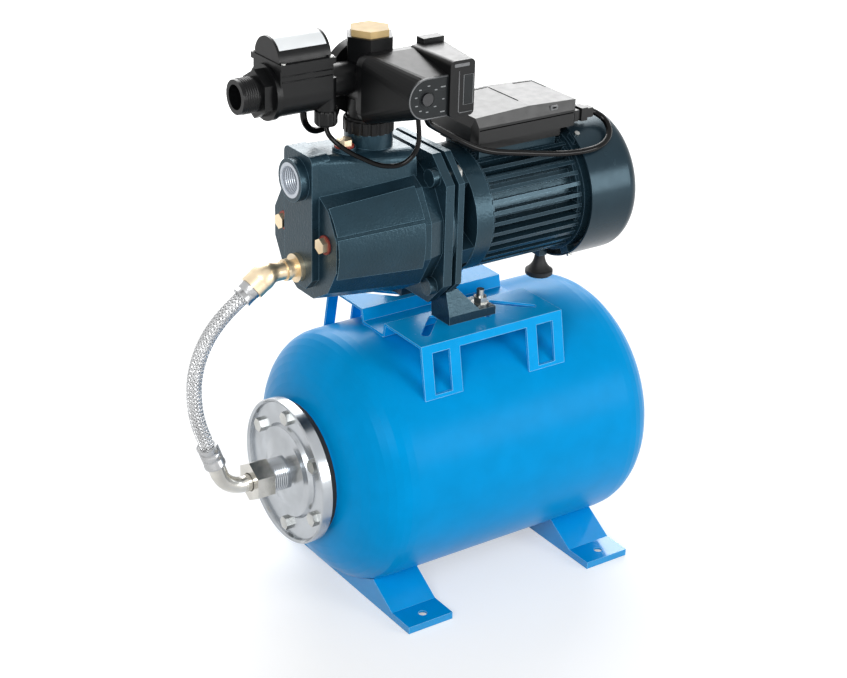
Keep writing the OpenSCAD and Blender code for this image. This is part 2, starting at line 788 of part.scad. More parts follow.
module hose_swivel_nut() color("silver") here() translate([0, 0, tank_z]) difference() {
    hex_x(swivel_tip_x, swivel_tip_x + swivel_len, swivel_af);
    rod(swivel_tip_x + 3, swivel_tip_x + swivel_len + 1, nipple_r);
    rod(swivel_tip_x - 1, swivel_tip_x + 4, sleeve_r + 1);
}

// Bend of a pipe in the XZ plane round the origin, from the angle start on
module bend(r_bend, start, turn, r_out) rotate([90, 0, 0]) rotate([0, 0, start])
    rotate_extrude(angle = turn, $fn = round_fn) translate([r_bend, 0]) circle(r = r_out, $fn = small_fn);

module slanted(x, z, tilt) translate([x, 0, z]) rotate([0, -tilt, 0]) children();

module hose_lower_elbow() color("gainsboro") here() difference() {
    union() {
        translate([0, 0, tank_z]) rod(nipple_tip_x - 3, nipple_tip_x, nipple_r - 0.8);
        translate([0, 0, tank_z]) rod(elbow_start_x - 1, nipple_tip_x - 1, sleeve_r);
        translate([elbow_start_x, 0, tank_z + elbow_bend])
            bend(elbow_bend, -90 - elbow_turn, elbow_turn, elbow_r);
        slanted(elbow_end_x, elbow_end_z, ferrule_tilt)
            post(-1, elbow_tail + ferrule_len - ferrule_grip, sleeve_r);
    }
    translate([0, 0, tank_z]) rod(elbow_start_x - 1, nipple_tip_x + 1, elbow_r - 2);
    translate([elbow_start_x, 0, tank_z + elbow_bend])
        bend(elbow_bend, -90 - elbow_turn, elbow_turn, elbow_r - 1.5);
    slanted(elbow_end_x, elbow_end_z, ferrule_tilt) post(-1, elbow_tail + ferrule_len, elbow_r - 2);
}

module hose_ferrules() color("silver") here() {
    slanted(hose_low_x, hose_low_z, ferrule_tilt) difference() {
        post(0, ferrule_len, ferrule_r);
        post(-1, ferrule_len - ferrule_grip, sleeve_r);
        post(ferrule_len - ferrule_grip - 0.01, ferrule_len + 1, hose_r);
    }
    slanted(hose_top_x, hose_top_z, brass_turn - 90) difference() {
        post(0, upper_ferrule_len, ferrule_r);
        post(-1, ferrule_grip, hose_r);
        post(ferrule_grip - 0.01, upper_ferrule_len + 1, elbow_r - 1);
    }
}

module braided_hose() color("lightgray") here() cord(hose_points, hose_r, hose_sides, [0, 1, 0]);

module hose_upper_elbow() color("goldenrod") here() difference() {
    union() {
        translate([0, 0, hose_port_z]) {
            rod(brass_bend_x, casing_front_x + hose_thread, brass_r);
            rod(casing_front_x - 5, casing_front_x, brass_r + 5.5);
            rod(casing_front_x - 16, casing_front_x - 12, brass_r + 2);
        }
        translate([brass_bend_x, 0, hose_port_z - brass_bend]) bend(brass_bend, 90, brass_turn, brass_r);
        slanted(brass_end_x, brass_end_z, brass_turn - 90) post(-brass_nut_len, 2, brass_r + 4);
    }
    translate([0, 0, hose_port_z]) rod(brass_bend_x, casing_front_x + hose_thread + 1, brass_r - 2.5);
    translate([brass_bend_x, 0, hose_port_z - brass_bend]) bend(brass_bend, 90, brass_turn, brass_r - 2.5);
    slanted(brass_end_x, brass_end_z, brass_turn - 90) post(-brass_nut_len - 1, 1, brass_r - 3);
}

// Pump casing: a twelve-sided tapering barrel, a block with the ports in front, an arched ridge
// on top that carries the discharge boss, and the octagonal joint flange

module octagon_x(x0, x1, w, h, cut) along_x(x0, x1) polygon([
    [-w, -h + cut], [-w + cut, -h], [w - cut, -h], [w, -h + cut],
    [w, h - cut], [w - cut, h], [-w + cut, h], [-w, h - cut]
]);

module barrel(x0, x1, r0, r1) translate([x0, 0, 0]) rotate([0, 90, 0]) rotate([0, 0, 15])
    cylinder(r1 = r0, r2 = r1, h = x1 - x0, $fn = 12);

module casing_ridge() hull() for (s = [-1, 1]) {
    translate([casing_front_x + 2, s * (ridge_half_w - ridge_inset - block_round),
        casing_top_h - ridge_inset - block_round])
        rotate([0, 90, 0]) cylinder(r = block_round, h = 6, $fn = 32);
    translate([casing_front_x + 2, s * (ridge_half_w - ridge_inset - 2) - 2, 0]) cube([6, 4, 10]);
    translate([barrel_end_x - 4, s * (ridge_rear_half_w - ridge_round),
        casing_top_h - ridge_drop - ridge_round])
        rotate([0, 90, 0]) cylinder(r = ridge_round, h = 7, $fn = 32);
    translate([barrel_end_x - 4, s * ridge_rear_half_w - 2, 0]) cube([7, 4, 30]);
}

// Section of the block in front: rounded on top, cut off at the lower corners
module front_block() union() {
    polygon([
        [-ridge_half_w, block_bottom_h + block_cut], [-ridge_half_w + block_cut, block_bottom_h],
        [ridge_half_w - block_cut, block_bottom_h], [ridge_half_w, block_bottom_h + block_cut],
        [ridge_half_w, casing_top_h - block_round], [ridge_half_w - block_round, casing_top_h - block_round],
        [ridge_half_w - block_round, casing_top_h], [-ridge_half_w + block_round, casing_top_h],
        [-ridge_half_w + block_round, casing_top_h - block_round], [-ridge_half_w, casing_top_h - block_round]
    ]);
    for (s = [-1, 1]) translate([s * (ridge_half_w - block_round), casing_top_h - block_round])
        circle(r = block_round, $fn = round_fn);
}

module at_drain_plugs() for (s = [-1, 1]) translate([casing_front_x + plug_sink, s * plug_y, plug_h])
    children();

module at_fill_plug() translate([fill_plug_x, fill_plug_y, fill_boss_h]) rotate([0, 90, 0]) children();

module at_joint_bolts() for (y = [-1, 1], z = [-1, 1])
    translate([bracket_rear_x, y * joint_bolt_y, z * joint_bolt_z]) children();

module pump_casing() color("darkslategray") on_axis() difference() {
    union() {
        barrel(casing_front_x + plug_sink, barrel_end_x, barrel_front_r, barrel_rear_r);
        barrel(barrel_end_x - 2, casing_rear_x - casing_flange_t + 1, barrel_rear_r - 0.5, barrel_rear_r - 5);
        octagon_x(casing_rear_x - casing_flange_t, casing_rear_x, joint_half_w, joint_half_h, joint_corner);
        casing_ridge();
        at_joint_bolts() rod(-bracket_t - joint_gap - casing_flange_t - joint_boss_len,
            -bracket_t - joint_gap - 2, joint_boss_r);
        along_x(casing_front_x, casing_front_x + 20) front_block();
        translate([0, 0, suction_h]) rod(casing_front_x - suction_proud, casing_front_x + 4, suction_boss_r);
        translate([riser_x, 0, 0]) post(chamber_r + 4, discharge_h, ring_nut_r - 1);
        translate([fill_plug_x, fill_plug_y, 0]) post(chamber_r + 4, fill_boss_h, washer_r + 2);
    }
    rod(wet_wall_x, casing_rear_x + 1, chamber_r);
    rod(diffuser_front_x, casing_rear_x + 1, casing_bore_r);
    // Suction way: threaded port, down passage and the seat of the venturi
    translate([0, 0, suction_h])
        rod(casing_front_x - suction_proud - 1, casing_front_x - suction_proud + suction_depth, suction_r);
    translate([0, 0, suction_h]) rod(casing_front_x, passage_x + passage_r, passage_r);
    translate([passage_x, 0, 0]) post(-passage_r, suction_h, passage_r);
    rod(passage_x, wet_wall_x + 1, venturi_r);
    // Ejector nozzle socket with its feed from the hose port
    rod(nozzle_back_x - 3, passage_x, nozzle_body_r);
    translate([nozzle_back_x - 1.5, 0, 0]) post(-hose_port_drop, 0, 2);
    translate([0, 0, -hose_port_drop]) {
        rod(casing_front_x - 1, casing_front_x + hose_thread, brass_r);
        rod(casing_front_x, wet_wall_x + 1, brass_r - 2.5);
    }
    at_drain_plugs() rod(-1, wet_wall_x - casing_front_x, plug_r);
    translate([fill_plug_x, fill_plug_y, 0]) post(chamber_r + 2, fill_boss_h + 1, plug_r);
    translate([riser_x, 0, 0]) post(chamber_r - 8, discharge_h + 1, discharge_r);
    at_joint_bolts() rod(-24, 0, bolt_r);
}

module casing_plugs() color("goldenrod") on_axis() {
    at_drain_plugs() brass_plug();
    at_fill_plug() brass_plug();
}

// Hex plug that seats with its washer at x = 0 and screws in towards +X
module brass_plug() {
    hex_x(-washer_t - 6, -washer_t, plug_af);
    rod(-washer_t, plug_shank, plug_r);
}

module plug_washers() color("firebrick") on_axis() {
    at_drain_plugs() ring(-washer_t, 0, washer_r, plug_r);
    at_fill_plug() ring(-washer_t, 0, washer_r, plug_r);
}

// Jet and impeller

module ejector_nozzle() color("goldenrod") on_axis() difference() {
    union() {
        rod(nozzle_back_x, nozzle_back_x + 9, nozzle_body_r);
        taper(nozzle_back_x + 9, nozzle_back_x + nozzle_len, nozzle_body_r, nozzle_r + 1);
    }
    taper(nozzle_back_x - 0.01, nozzle_back_x + nozzle_len + 0.01, nozzle_body_r - 1.5, nozzle_r);
}

module diffuser() color("dimgray") on_axis() difference() {
    union() {
        rod(venturi_front_x, throat_x, venturi_r);
        taper(throat_x, diffuser_front_x, venturi_r, eye_r + 3);
        rod(diffuser_front_x, diffuser_front_x + diffuser_plate_t, casing_bore_r);
        ring(diffuser_front_x, spigot_x, casing_bore_r, impeller_r + 2);
    }
    taper(venturi_front_x - 0.01, throat_x, venturi_r - 2, throat_r);
    taper(throat_x - 0.01, diffuser_front_x + 0.01, throat_r, eye_r);
    rod(diffuser_front_x - 0.01, spigot_x + 1, eye_r + blade_t + 0.4);
    round_x(8, 0) translate([diffuser_front_x - 1, chamber_r - 6, -6])
        cube([impeller_rear_x - diffuser_front_x + 1, 24, 12]);
}

// Closed impeller: two shrouds with backward-curved blades between them
module impeller() color("silver") on_axis() difference() {
    union() {
        difference() {
            union() {
                rod(impeller_front_x, impeller_front_x + blade_t, impeller_r);
                rod(diffuser_front_x + 0.5, impeller_front_x + 0.5, eye_r + blade_t);
            }
            rod(diffuser_front_x, impeller_front_x + blade_t + 1, eye_r);
        }
        rod(impeller_rear_x - blade_t, impeller_rear_x, impeller_r);
        rod(impeller_front_x - hub_proud, impeller_rear_x, impeller_hub_r);
        round_x(blade_count, 0) intersection() {
            ring(impeller_front_x + 0.8, impeller_rear_x - 0.8, impeller_r - 1, impeller_hub_r - 1);
            translate([0, impeller_r * 0.52, 0])
                ring(impeller_front_x, impeller_rear_x, impeller_r * 0.5, impeller_r * 0.5 - blade_t);
            blade_window();
        }
    }
    rod(impeller_front_x - hub_proud - 1, impeller_rear_x + 1, impeller_bore_r);
}

// Keeps one side of each ring, so that a single curved blade is left
module blade_window() translate([impeller_front_x, 0, 0])
    cube([impeller_w, impeller_r + 1, impeller_r * 0.52]);

module impeller_nut() color("silver") on_axis() difference() {
    hex_x(impeller_front_x - hub_proud - nut_h, impeller_front_x - hub_proud, nut_af);
    rod(shaft_front_x - 1, impeller_front_x, shaft_tip_r);
}

module seal_seat() color("whitesmoke") on_axis() ring(seat_front_x, seat_rear_x, seal_r, shaft_seal_r + 1);

module seal_head() color("dimgray") on_axis() {
    ring(impeller_rear_x, seat_front_x - 3, seal_r - 2, shaft_seal_r);
    ring(seat_front_x - 3, seat_front_x - seal_gap, seal_r - 3, shaft_seal_r);
}

// Motor bracket: joint flange with the pump feet, open lantern, bearing hub and motor ring

module pump_foot(s) translate([bracket_front_x, s * (pump_hole_y - 2), -axis_h]) {
    hull() {
        translate([0, -pump_foot_half, 0]) cube([pump_foot_len - 20, 2 * pump_foot_half, pump_foot_t]);
        translate([0, -s * 6 - 12, axis_h - joint_half_h + 14]) cube([bracket_t, 24, 6]);
    }
    translate([0, -pump_foot_half, 0]) cube([pump_foot_len, 2 * pump_foot_half, pump_foot_t]);
}

module motor_bracket() color("darkslategray") on_axis() difference() {
    union() {
        octagon_x(bracket_front_x, bracket_rear_x, joint_half_w, joint_half_h, joint_corner);
        rod(spigot_x, bracket_front_x + 1, casing_bore_r);
        rod(casing_rear_x + gasket_t, bracket_front_x + 1, joint_seal_r);
        rod(bracket_front_x, bracket_rear_x + 8, hub_r + 4);
        rod(bracket_rear_x, ring_rear_x, hub_r);
        rod(ring_front_x, ring_rear_x, ring_r);
        for (a = lantern_angles) rotate([a, 0, 0]) translate([bracket_rear_x - 1, hub_r - 4, -rib_t / 2])
            cube([lantern_len + 2, ring_r - hub_r + 3, rib_t]);
        for (s = [-1, 1]) pump_foot(s);
    }
    rod(seat_front_x - 1, seat_rear_x, seal_r);
    rod(seat_front_x, ring_rear_x + 1, shaft_seal_r + 1.5);
    rod(front_bearing_x, ring_rear_x + 1, bearing_r);
    difference() {
        rod(ring_rear_x - 4, ring_rear_x + 1, stator_r);
        rod(ring_rear_x - 5, ring_rear_x + 2, hub_r);
    }
    at_joint_bolts() rod(-30, 1, bolt_r + hole_gap);
    at_joint_bolts() rod(0, 12, bolt_af * 0.75);
    at_tie_rods() rod(ring_front_x - 1, ring_rear_x + 1, tie_rod_r);
    at_pump_bolts() post(-axis_h - 1, -axis_h + pump_foot_t + 1, bolt_r + hole_gap);
    at_pump_bolts() post(-axis_h + pump_foot_t, -joint_half_h + 20, bolt_af * 0.75);
}

module joint_gasket() color("black") on_axis()
    ring(casing_rear_x, casing_rear_x + gasket_t, joint_seal_r, casing_bore_r);

module joint_bolts() color("silver") on_axis() at_joint_bolts() mirror([1, 0, 0])
    bolt_x(bracket_t + joint_gap + casing_flange_t);

module at_pump_bolts() for (s = [-1, 1]) translate([pump_hole_x, s * pump_hole_y, 0]) children();

module pump_foot_bolts() color("silver") on_axis() at_pump_bolts() {
    hex_z(-axis_h - sheet_t - bolt_head_h, -axis_h - sheet_t, bolt_af);
    post(-axis_h - sheet_t, -axis_h + pump_foot_t + 16, bolt_r);
    post(-axis_h + pump_foot_t, -axis_h + pump_foot_t + 1.6, bolt_af * 0.7);
    hex_z(-axis_h + pump_foot_t + 1.6, -axis_h + pump_foot_t + 8, bolt_af);
}

// Motor

module bearing(x) difference() {
    ring(x, x + bearing_w, bearing_r, bearing_bore_r);
    for (e = [-0.01, bearing_w - 1.49]) ring(x + e, x + e + 1.5, bearing_r - 3, shaft_r + 3);
}

module front_bearing() color("silver") on_axis() bearing(front_bearing_x);

module rear_bearing() color("silver") on_axis() bearing(rear_bearing_x);

module motor_shaft() color("silver") on_axis() {
    rod(shaft_front_x, impeller_front_x, shaft_tip_r);
    rod(impeller_front_x - hub_proud, impeller_rear_x, impeller_bore_r);
    rod(impeller_rear_x - 0.01, front_bearing_x - 3, shaft_seal_r);
    rod(front_bearing_x - 3.01, stator_x - 8, shaft_r);
    rod(stator_x - 8.01, stator_x + stator_len + 8, rotor_bore_r);
    rod(stator_x + stator_len + 7.99, shield_rear_x + 2, shaft_r);
    rod(shield_rear_x + 1.99, shaft_rear_x, fan_bore_r);
}

module rotor_core() color("gray") on_axis() ring(stator_x, stator_x + stator_len, rotor_r, rotor_bore_r);

module at_slots() round_x(12, 15) translate([0, (rotor_r + stator_r) / 2, 0]) children();

module stator_core() color("gray") on_axis() difference() {
    ring(stator_x, stator_x + stator_len, stator_r, rotor_r + air_gap);
    at_slots() rod(stator_x - 1, stator_x + stator_len + 1, slot_bar_r);
}

module stator_winding() color("peru") on_axis() {
    for (x = [stator_x - winding_end, stator_x + stator_len])
        ring(x, x + winding_end, stator_r - 4, rotor_r + 4);
    at_slots() rod(stator_x - 0.01, stator_x + stator_len + 0.01, slot_bar_r);
}

module motor_housing() color("darkslategray") on_axis() difference() {
    union() {
        rod(housing_x, housing_rear_x, housing_r);
        rod(housing_x, housing_x + 4, fin_r - 3);
        rod(housing_rear_x - 4, housing_rear_x, fin_r - 3);
        round_x(fin_count, 0) translate([housing_x + 1, housing_r - 2, -fin_t / 2])
            cube([housing_len - 2, fin_r - housing_r + 2, fin_t]);
        translate([housing_x + 6, -box_w / 2 + 12, 0]) cube([housing_len - 18, box_w - 24, plinth_h]);
    }
    rod(housing_x - 1, housing_rear_x + 1, stator_r);
    at_tie_rods() rod(housing_x - 1, housing_rear_x + 1, tie_rod_r + 0.2);
    translate([box_x + 30, -14, stator_r - 2]) cube([20, 28, box_floor_h]);
}

module at_tie_rods() round_x(4, 45) translate([0, housing_r + 4, 0]) children();

module rear_shield() color("darkslategray") on_axis() difference() {
    union() {
        rod(housing_rear_x, shield_rear_x, fin_r + 3);
        ring(housing_rear_x - 5, housing_rear_x + 1, stator_r, stator_r - 4);
        for (a = cover_lugs) rotate([a, 0, 0]) translate([cover_x, stator_r, -6])
            cube([shield_rear_x - cover_x, cover_in_r - 0.5 - stator_r, 12]);
        translate([stem_x - 7, -8, stem_top_h])
            cube([cover_x - free_gap - stem_x + 7, 16, -fin_r - free_gap - stem_top_h]);
    }
    rod(housing_rear_x - 1, housing_rear_x + bearing_w, bearing_r);
    rod(housing_rear_x, shield_rear_x + 1, shaft_r + 2);
    at_tie_rods() rod(housing_rear_x - 1, shield_rear_x + 1, tie_rod_r);
    for (a = cover_lugs) rotate([a, 0, 0]) translate([cover_screw_x, 0, 0]) rotate([-90, 0, 0])
        post(cover_in_r - 12, cover_r, screw_r);
}

module tie_rods() color("silver") on_axis() at_tie_rods() {
    rod(ring_front_x, shield_rear_x, tie_rod_r);
    hex_x(shield_rear_x, shield_rear_x + 4, 8);
}

module fan() color("dimgray") on_axis() difference() {
    union() {
        rod(fan_x, fan_x + fan_len, fan_hub_r);
        rod(fan_x, fan_x + 2, fan_r * 0.6);
        round_x(fan_blades, 0) translate([fan_x, fan_hub_r - 2, -1])
            cube([fan_len, fan_r - fan_hub_r + 2, 2]);
    }
    rod(fan_x - 1, fan_x + fan_len + 1, fan_bore_r);
}

// Fan cover: a drawn shell with a rounded rear edge and a grille of arc slots
module fan_cover() color("darkslategray") on_axis() difference() {
    rotate([0, 90, 0]) rotate_extrude($fn = round_fn) difference() {
        cover_outline(cover_r, cover_rear_x, cover_round);
        cover_outline(cover_in_r, cover_rear_x - cover_wall, cover_round - cover_wall);
    }
    for (i = [1 : grille_rings]) difference() {
        ring(cover_rear_x - 2 * cover_wall, cover_rear_x + 1, grille_step * (i + 0.62), grille_step * i);
        for (a = [0 : 30 : 150]) rotate([a, 0, 0])
            translate([cover_rear_x - 2 * cover_wall - 1, -cover_r, -2.2])
                cube([2 * cover_wall + 3, 2 * cover_r, 4.4]);
    }
    for (a = cover_lugs) rotate([a, 0, 0]) translate([cover_screw_x, 0, 0]) rotate([-90, 0, 0])
        post(cover_in_r - 2, cover_r + 1, screw_r);
}

module cover_outline(r, x_end, round_r) union() {
    translate([0, cover_x - 0.01]) square([r, x_end - round_r - cover_x + 0.01]);
    translate([0, x_end - round_r - 0.01]) square([r - round_r, round_r + 0.01]);
    intersection() {
        translate([r - round_r, x_end - round_r]) circle(r = round_r, $fn = small_fn);
        translate([r - round_r - 0.01, x_end - round_r - 0.01]) square([round_r + 0.1, round_r + 0.1]);
    }
}

module fan_cover_screws() color("silver") on_axis() for (a = cover_lugs) rotate([a, 0, 0])
    translate([cover_screw_x, 0, 0]) rotate([-90, 0, 0]) {
        post(cover_in_r - 10, cover_r, screw_r);
        post(cover_r, cover_r + 2, screw_r * 2);
    }

// The rubber-shod stem stands over the tank at the level of the pump feet
module motor_foot() color("black") on_axis() translate([stem_x, 0, 0]) rotate_extrude($fn = small_fn)
    polygon(concat(
    [[0, stem_top_h], [stem_r, stem_top_h]],
    [for (i = [0 : 8]) let (u = i / 8)
        [stem_r + (stem_base_r - 2 - stem_r) * u * u * u, -axis_h + stem_base_h + stem_flare * (1 - u)]],
    [[stem_base_r, -axis_h + stem_base_h - 1.5], [stem_base_r, -axis_h + 1.5],
        [stem_base_r - 1.5, -axis_h], [0, -axis_h]]
));

// Terminal box

module box_plan(x0, x1, w, cut) polygon([
    [x0 + cut, -w], [x1 - cut, -w], [x1, -w + cut], [x1, w - cut],
    [x1 - cut, w], [x0 + cut, w], [x0, w - cut], [x0, -w + cut]
]);

module terminal_box() color("black") on_axis() difference() {
    union() {
        translate([0, 0, box_floor_h]) linear_extrude(box_seam_h - box_floor_h)
            box_plan(box_x, box_x1, box_w / 2, 6);
        translate([0, 0, plinth_h]) linear_extrude(box_floor_h - plinth_h + 1)
            box_plan(box_x + 8, box_x1 - 12, box_w / 2 - 7, 6);
    }
    translate([0, 0, box_floor_h + box_wall]) linear_extrude(box_seam_h)
        box_plan(box_x + box_wall, box_x1 - box_wall, box_w / 2 - box_wall, 5);
    translate([box_x + 30, -14, plinth_h - 1]) cube([20, 28, box_floor_h + box_wall - plinth_h + 2]);
    translate([0, gland_y, gland_h]) rod(box_x1 - 5, box_x1 + 1, gland_r);
}

// Flat lid that falls away a little to both ends
module terminal_lid() color("black") on_axis() difference() {
    lid_block(0);
    translate([0, 0, -0.01]) lid_block(box_wall);
}

module lid_block(t) hull() {
    translate([0, 0, box_seam_h]) linear_extrude(3) box_plan(box_x + t, box_x1 - t, box_w / 2 - t, 6);
    for (p = [[box_x + 3, lid_h - lid_end_drop], [box_x + 70, lid_h], [box_x1 - 3, lid_h - lid_end_drop]])
        translate([p[0] + (p[0] > 0 ? -t : t), -box_w / 2 + 3 + t, box_seam_h + p[1] - 1 - t])
            cube([0.5, box_w - 6 - 2 * t, 1]);
}

module capacitor() color("whitesmoke") on_axis()
    translate([0, box_w / 2 - box_wall - capacitor_r - 2, box_floor_h + box_wall + capacitor_r])
        rod(box_x + 62, box_x + 106, capacitor_r);

// Clamp gland of the motor lead, a block with a strap on the rear wall of the box
module motor_gland() color("black") on_axis() translate([0, gland_y, gland_h]) difference() {
    union() {
        rod(box_x1 - 4, box_x1 + 1, gland_r);
        translate([box_x1, -gland_r - 1, -gland_r]) cube([5, 2 * gland_r + 2, 2 * gland_r]);
        translate([box_x1 + 4, -gland_r + 1, -gland_r + 1])
            cube([gland_len - 4, 2 * gland_r - 2, 2 * gland_r - 2]);
        translate([box_x1 + 9, -gland_r - 1, -gland_r - 1]) cube([8, 2 * gland_r + 2, 2 * gland_r + 2]);
    }
    rod(box_x1 + gland_len - 8, box_x1 + gland_len + 1, motor_lead_r);
}

// Riser with ring nut, check valve and top plug

module ring_nut() color("black") on_axis() translate([riser_x, 0, 0]) difference() {
    post(discharge_h, discharge_h + ring_nut_h, ring_nut_r);
    post(discharge_h - 1, discharge_h + ring_nut_h + 1, riser_neck_r);
    for (i = [0 : 17]) rotate([0, 0, i * 20]) translate([ring_nut_r + 1, 0, discharge_h - 1])
        cylinder(r = 2.2, h = ring_nut_h + 2, $fn = 24);
}

module riser_body() color("black") on_axis() difference() {
    union() {
        translate([riser_x, 0, 0]) {
            post(discharge_h, discharge_h + ring_nut_h + 1, riser_neck_r);
            post(discharge_h + ring_nut_h, collar_h - collar_len + 1, riser_r);
            post(discharge_h + ring_nut_h, discharge_h + ring_nut_h + 2.5, ring_nut_r - 2);
            hex_z(collar_h - collar_len, collar_h, collar_af);
        }
        translate([0, 0, outlet_h]) rod(sensor_rear_x, riser_x, tee_r);
        slab_y(control_x0 + 3, control_x0 + 80, control_h - control_half_h + 2,
            control_h + control_half_h - 2,
            plate_y0, plate_y0 + plate_t, 12);
        translate([riser_x, plate_y0 + 1, control_h]) rotate([-90, 0, 0])
            cylinder(r = 26, h = back_cover_y - plate_y0 - 2, $fn = round_fn);
        translate([riser_x, back_cover_y - back_cover_t, control_h]) rotate([-90, 0, 0])
            cylinder(r = back_cover_r, h = back_cover_t, $fn = round_fn);
    }
    translate([riser_x, 0, 0]) {
        post(discharge_h - 1, check_seat_h + 1, check_neck_r);
        post(check_seat_h, collar_h - top_thread, riser_bore_r);
        post(collar_h - top_thread - 0.01, collar_h + 1, top_bore_r);
    }
    translate([0, 0, outlet_h]) rod(sensor_rear_x - 1, riser_x, sensor_bore_r);
    translate([link_end[0], link_end[1], 0])
        post(control_h - back_cover_r, link_end[2] - axis_z, link_lead_r);
}

module top_plug() color("goldenrod") on_axis() translate([riser_x, 0, 0]) {
    hex_z(collar_h, collar_h + top_plug_h, top_plug_af);
    post(collar_h - top_thread + 2, collar_h + 0.01, top_bore_r);
}

module check_valve() color("dimgray") on_axis() translate([riser_x, 0, 0]) {
    post(check_seat_h, check_seat_h + 3, check_r);
    for (a = [0, 90]) rotate([0, 0, a]) translate([-check_neck_r + free_gap, -0.8, check_seat_h - 12])
        cube([2 * (check_neck_r - free_gap), 1.6, 12.01]);
}

// Pressure control: a moulded housing that tapers from its back plate to a rounded front panel,
// with a deeper column beside the panel

module control_housing() color("black") on_axis() difference() {
    union() {
        hull() {
            slab_y(control_x0, control_x1, control_h - control_half_h, control_h + control_half_h,
                plate_y0 - 6, plate_y0, 12);
            for (x = [panel_x, column_x0]) translate([x, panel_y + panel_t, panel_h]) rotate([-90, 0, 0])
                cylinder(r = panel_r, h = 4, $fn = 32);
        }
        hull() {
            slab_y(column_x0, control_x1 - 2, control_h - control_half_h + 10, control_h + control_half_h + 2,
                plate_y0 - 4, plate_y0 - 1, 5);
            slab_y(column_x0, column_x1, outlet_h - 24, outlet_h + 31, panel_y - 3, panel_y + 4, 5);
        }
        translate([column_x0 + 13, plate_y0 - 5, control_h + control_half_h - 2]) cube([24, 12, 9]);
    }
    translate([panel_x, panel_y + panel_t + button_depth, panel_h]) rotate([90, 0, 0])
        post(0, 20, button_r + run_gap);
    for (p = lead_sockets) translate([p[0][0], p[0][1], 0])
        post(control_h - control_half_h - 1, p[0][2] - axis_z, p[1]);
}

module control_panel() color("darkslategray") on_axis() difference() {
    union() {
        translate([panel_x, panel_y + panel_t, panel_h]) rotate([90, 0, 0]) post(0, panel_t, panel_r);
        translate([panel_x, panel_y, panel_h - panel_r]) cube([column_x0 - panel_x, panel_t, 2 * panel_r]);
    }
    translate([panel_x, panel_y + panel_t + 1, panel_h]) rotate([90, 0, 0]) post(0, 20, button_r + free_gap);
}

module restart_button() color("dimgray") on_axis() translate([panel_x, 0, panel_h]) rotate([-90, 0, 0])
    post(panel_y - button_travel, panel_y + panel_t + button_depth - button_travel - 1, button_r);

// Flow sensor

module sensor_body() color("black") on_axis() {
    difference() {
        union() {
            translate([0, 0, outlet_h]) {
                rod(outlet_x, sensor_x, outlet_r);
                hex_x(outlet_x + outlet_len, sensor_x - 4, outlet_hex_af);
                rod(sensor_x - 4, sensor_x + 2, sensor_r + 2);
                rod(sensor_x, sensor_rear_x - 6, sensor_r);
                rod(sensor_rear_x - 7, sensor_rear_x, tee_r + 3);
            }
            translate([sensor_x, -sensor_r, outlet_h])
                cube([sensor_len - 6, 2 * sensor_r, sensor_top_h - outlet_h - 3]);
            translate([sensor_x - 1, -sensor_r - 3, sensor_top_h - 6])
                cube([sensor_len - 4, 2 * sensor_r + 6, 6]);
            translate([gland2_x, gland2_y, 0]) post(outlet_h - 20, outlet_h + 10, gland2_r + 1);
        }
        translate([0, 0, outlet_h]) rod(outlet_x - 1, sensor_rear_x + 1, sensor_bore_r);
        translate([0, 0, outlet_h]) rod(sensor_rear_x, sensor_rear_x + 8, sensor_r + 6);
        translate([gland2_x, gland2_y, 0]) post(outlet_h - 21, outlet_h - 14, gland2_r - 2);
        for (x = sensor_screw_x, s = [-1, 1]) translate([x, s * sensor_screw_y, 0])
            post(sensor_top_h - 6, sensor_top_h + 1, screw_r);
        translate([link_start[0], link_start[1], 0])
            post(outlet_h - sensor_r - 2, link_start[2] - axis_z, link_lead_r);
    }
    translate([0, 0, outlet_h]) for (x = [turbine_x - 4, turbine_x + turbine_len + 2]) difference() {
        union() {
            rod(x, x + 2, 3);
            for (a = [0, 60, 120]) rotate([a, 0, 0]) translate([x, -sensor_bore_r - 0.5, -0.8])
                cube([2, 2 * sensor_bore_r + 1, 1.6]);
        }
        rod(x - 1, x + 3, axle_r + run_gap);
    }
}

module sensor_cover() color("black") on_axis() translate([0, 0, sensor_top_h]) intersection() {
    translate([0, 0, -2]) rod(sensor_x, sensor_rear_x - 7, sensor_w / 2);
    translate([sensor_x - 1, -sensor_w, 0]) cube([sensor_len, 2 * sensor_w, sensor_w]);
}

module sensor_turbine() color("white") on_axis() translate([0, 0, outlet_h]) {
    rod(turbine_x - 4, turbine_x + turbine_len + 4, axle_r);
    rod(turbine_x, turbine_x + turbine_len, 4);
    round_x(6, 0) translate([turbine_x, 2, -0.7]) cube([turbine_len, turbine_r - 2, 1.4]);
}

module sensor_screws() color("silver") on_axis() for (x = sensor_screw_x, s = [-1, 1])
    translate([x, s * sensor_screw_y, 0]) {
        post(sensor_top_h - 6, sensor_top_h, screw_r);
        post(sensor_top_h, sensor_top_h + 1.5, screw_r + 0.9);
    }

module sensor_gland() color("black") on_axis() translate([gland2_x, gland2_y, 0]) difference() {
    union() {
        post(outlet_h - 38, outlet_h - 20, gland2_r);
        post(outlet_h - 21, outlet_h - 14, gland2_r - 2);
    }
    post(outlet_h - 39, sensor_lead_points[0][2] - axis_z, sensor_lead_r);
}

// Leads

module motor_lead() color("black") here() cord(motor_lead_points, motor_lead_r, cord_sides, [-0.4, 1, -0.5]);

module sensor_lead() color("black") here() cord(sensor_lead_points, sensor_lead_r, cord_sides, [0.5, 1, 0]);

module link_lead() color("black") here() cord(link_lead_points, link_lead_r, cord_sides, [-0.35, 1, 0]);

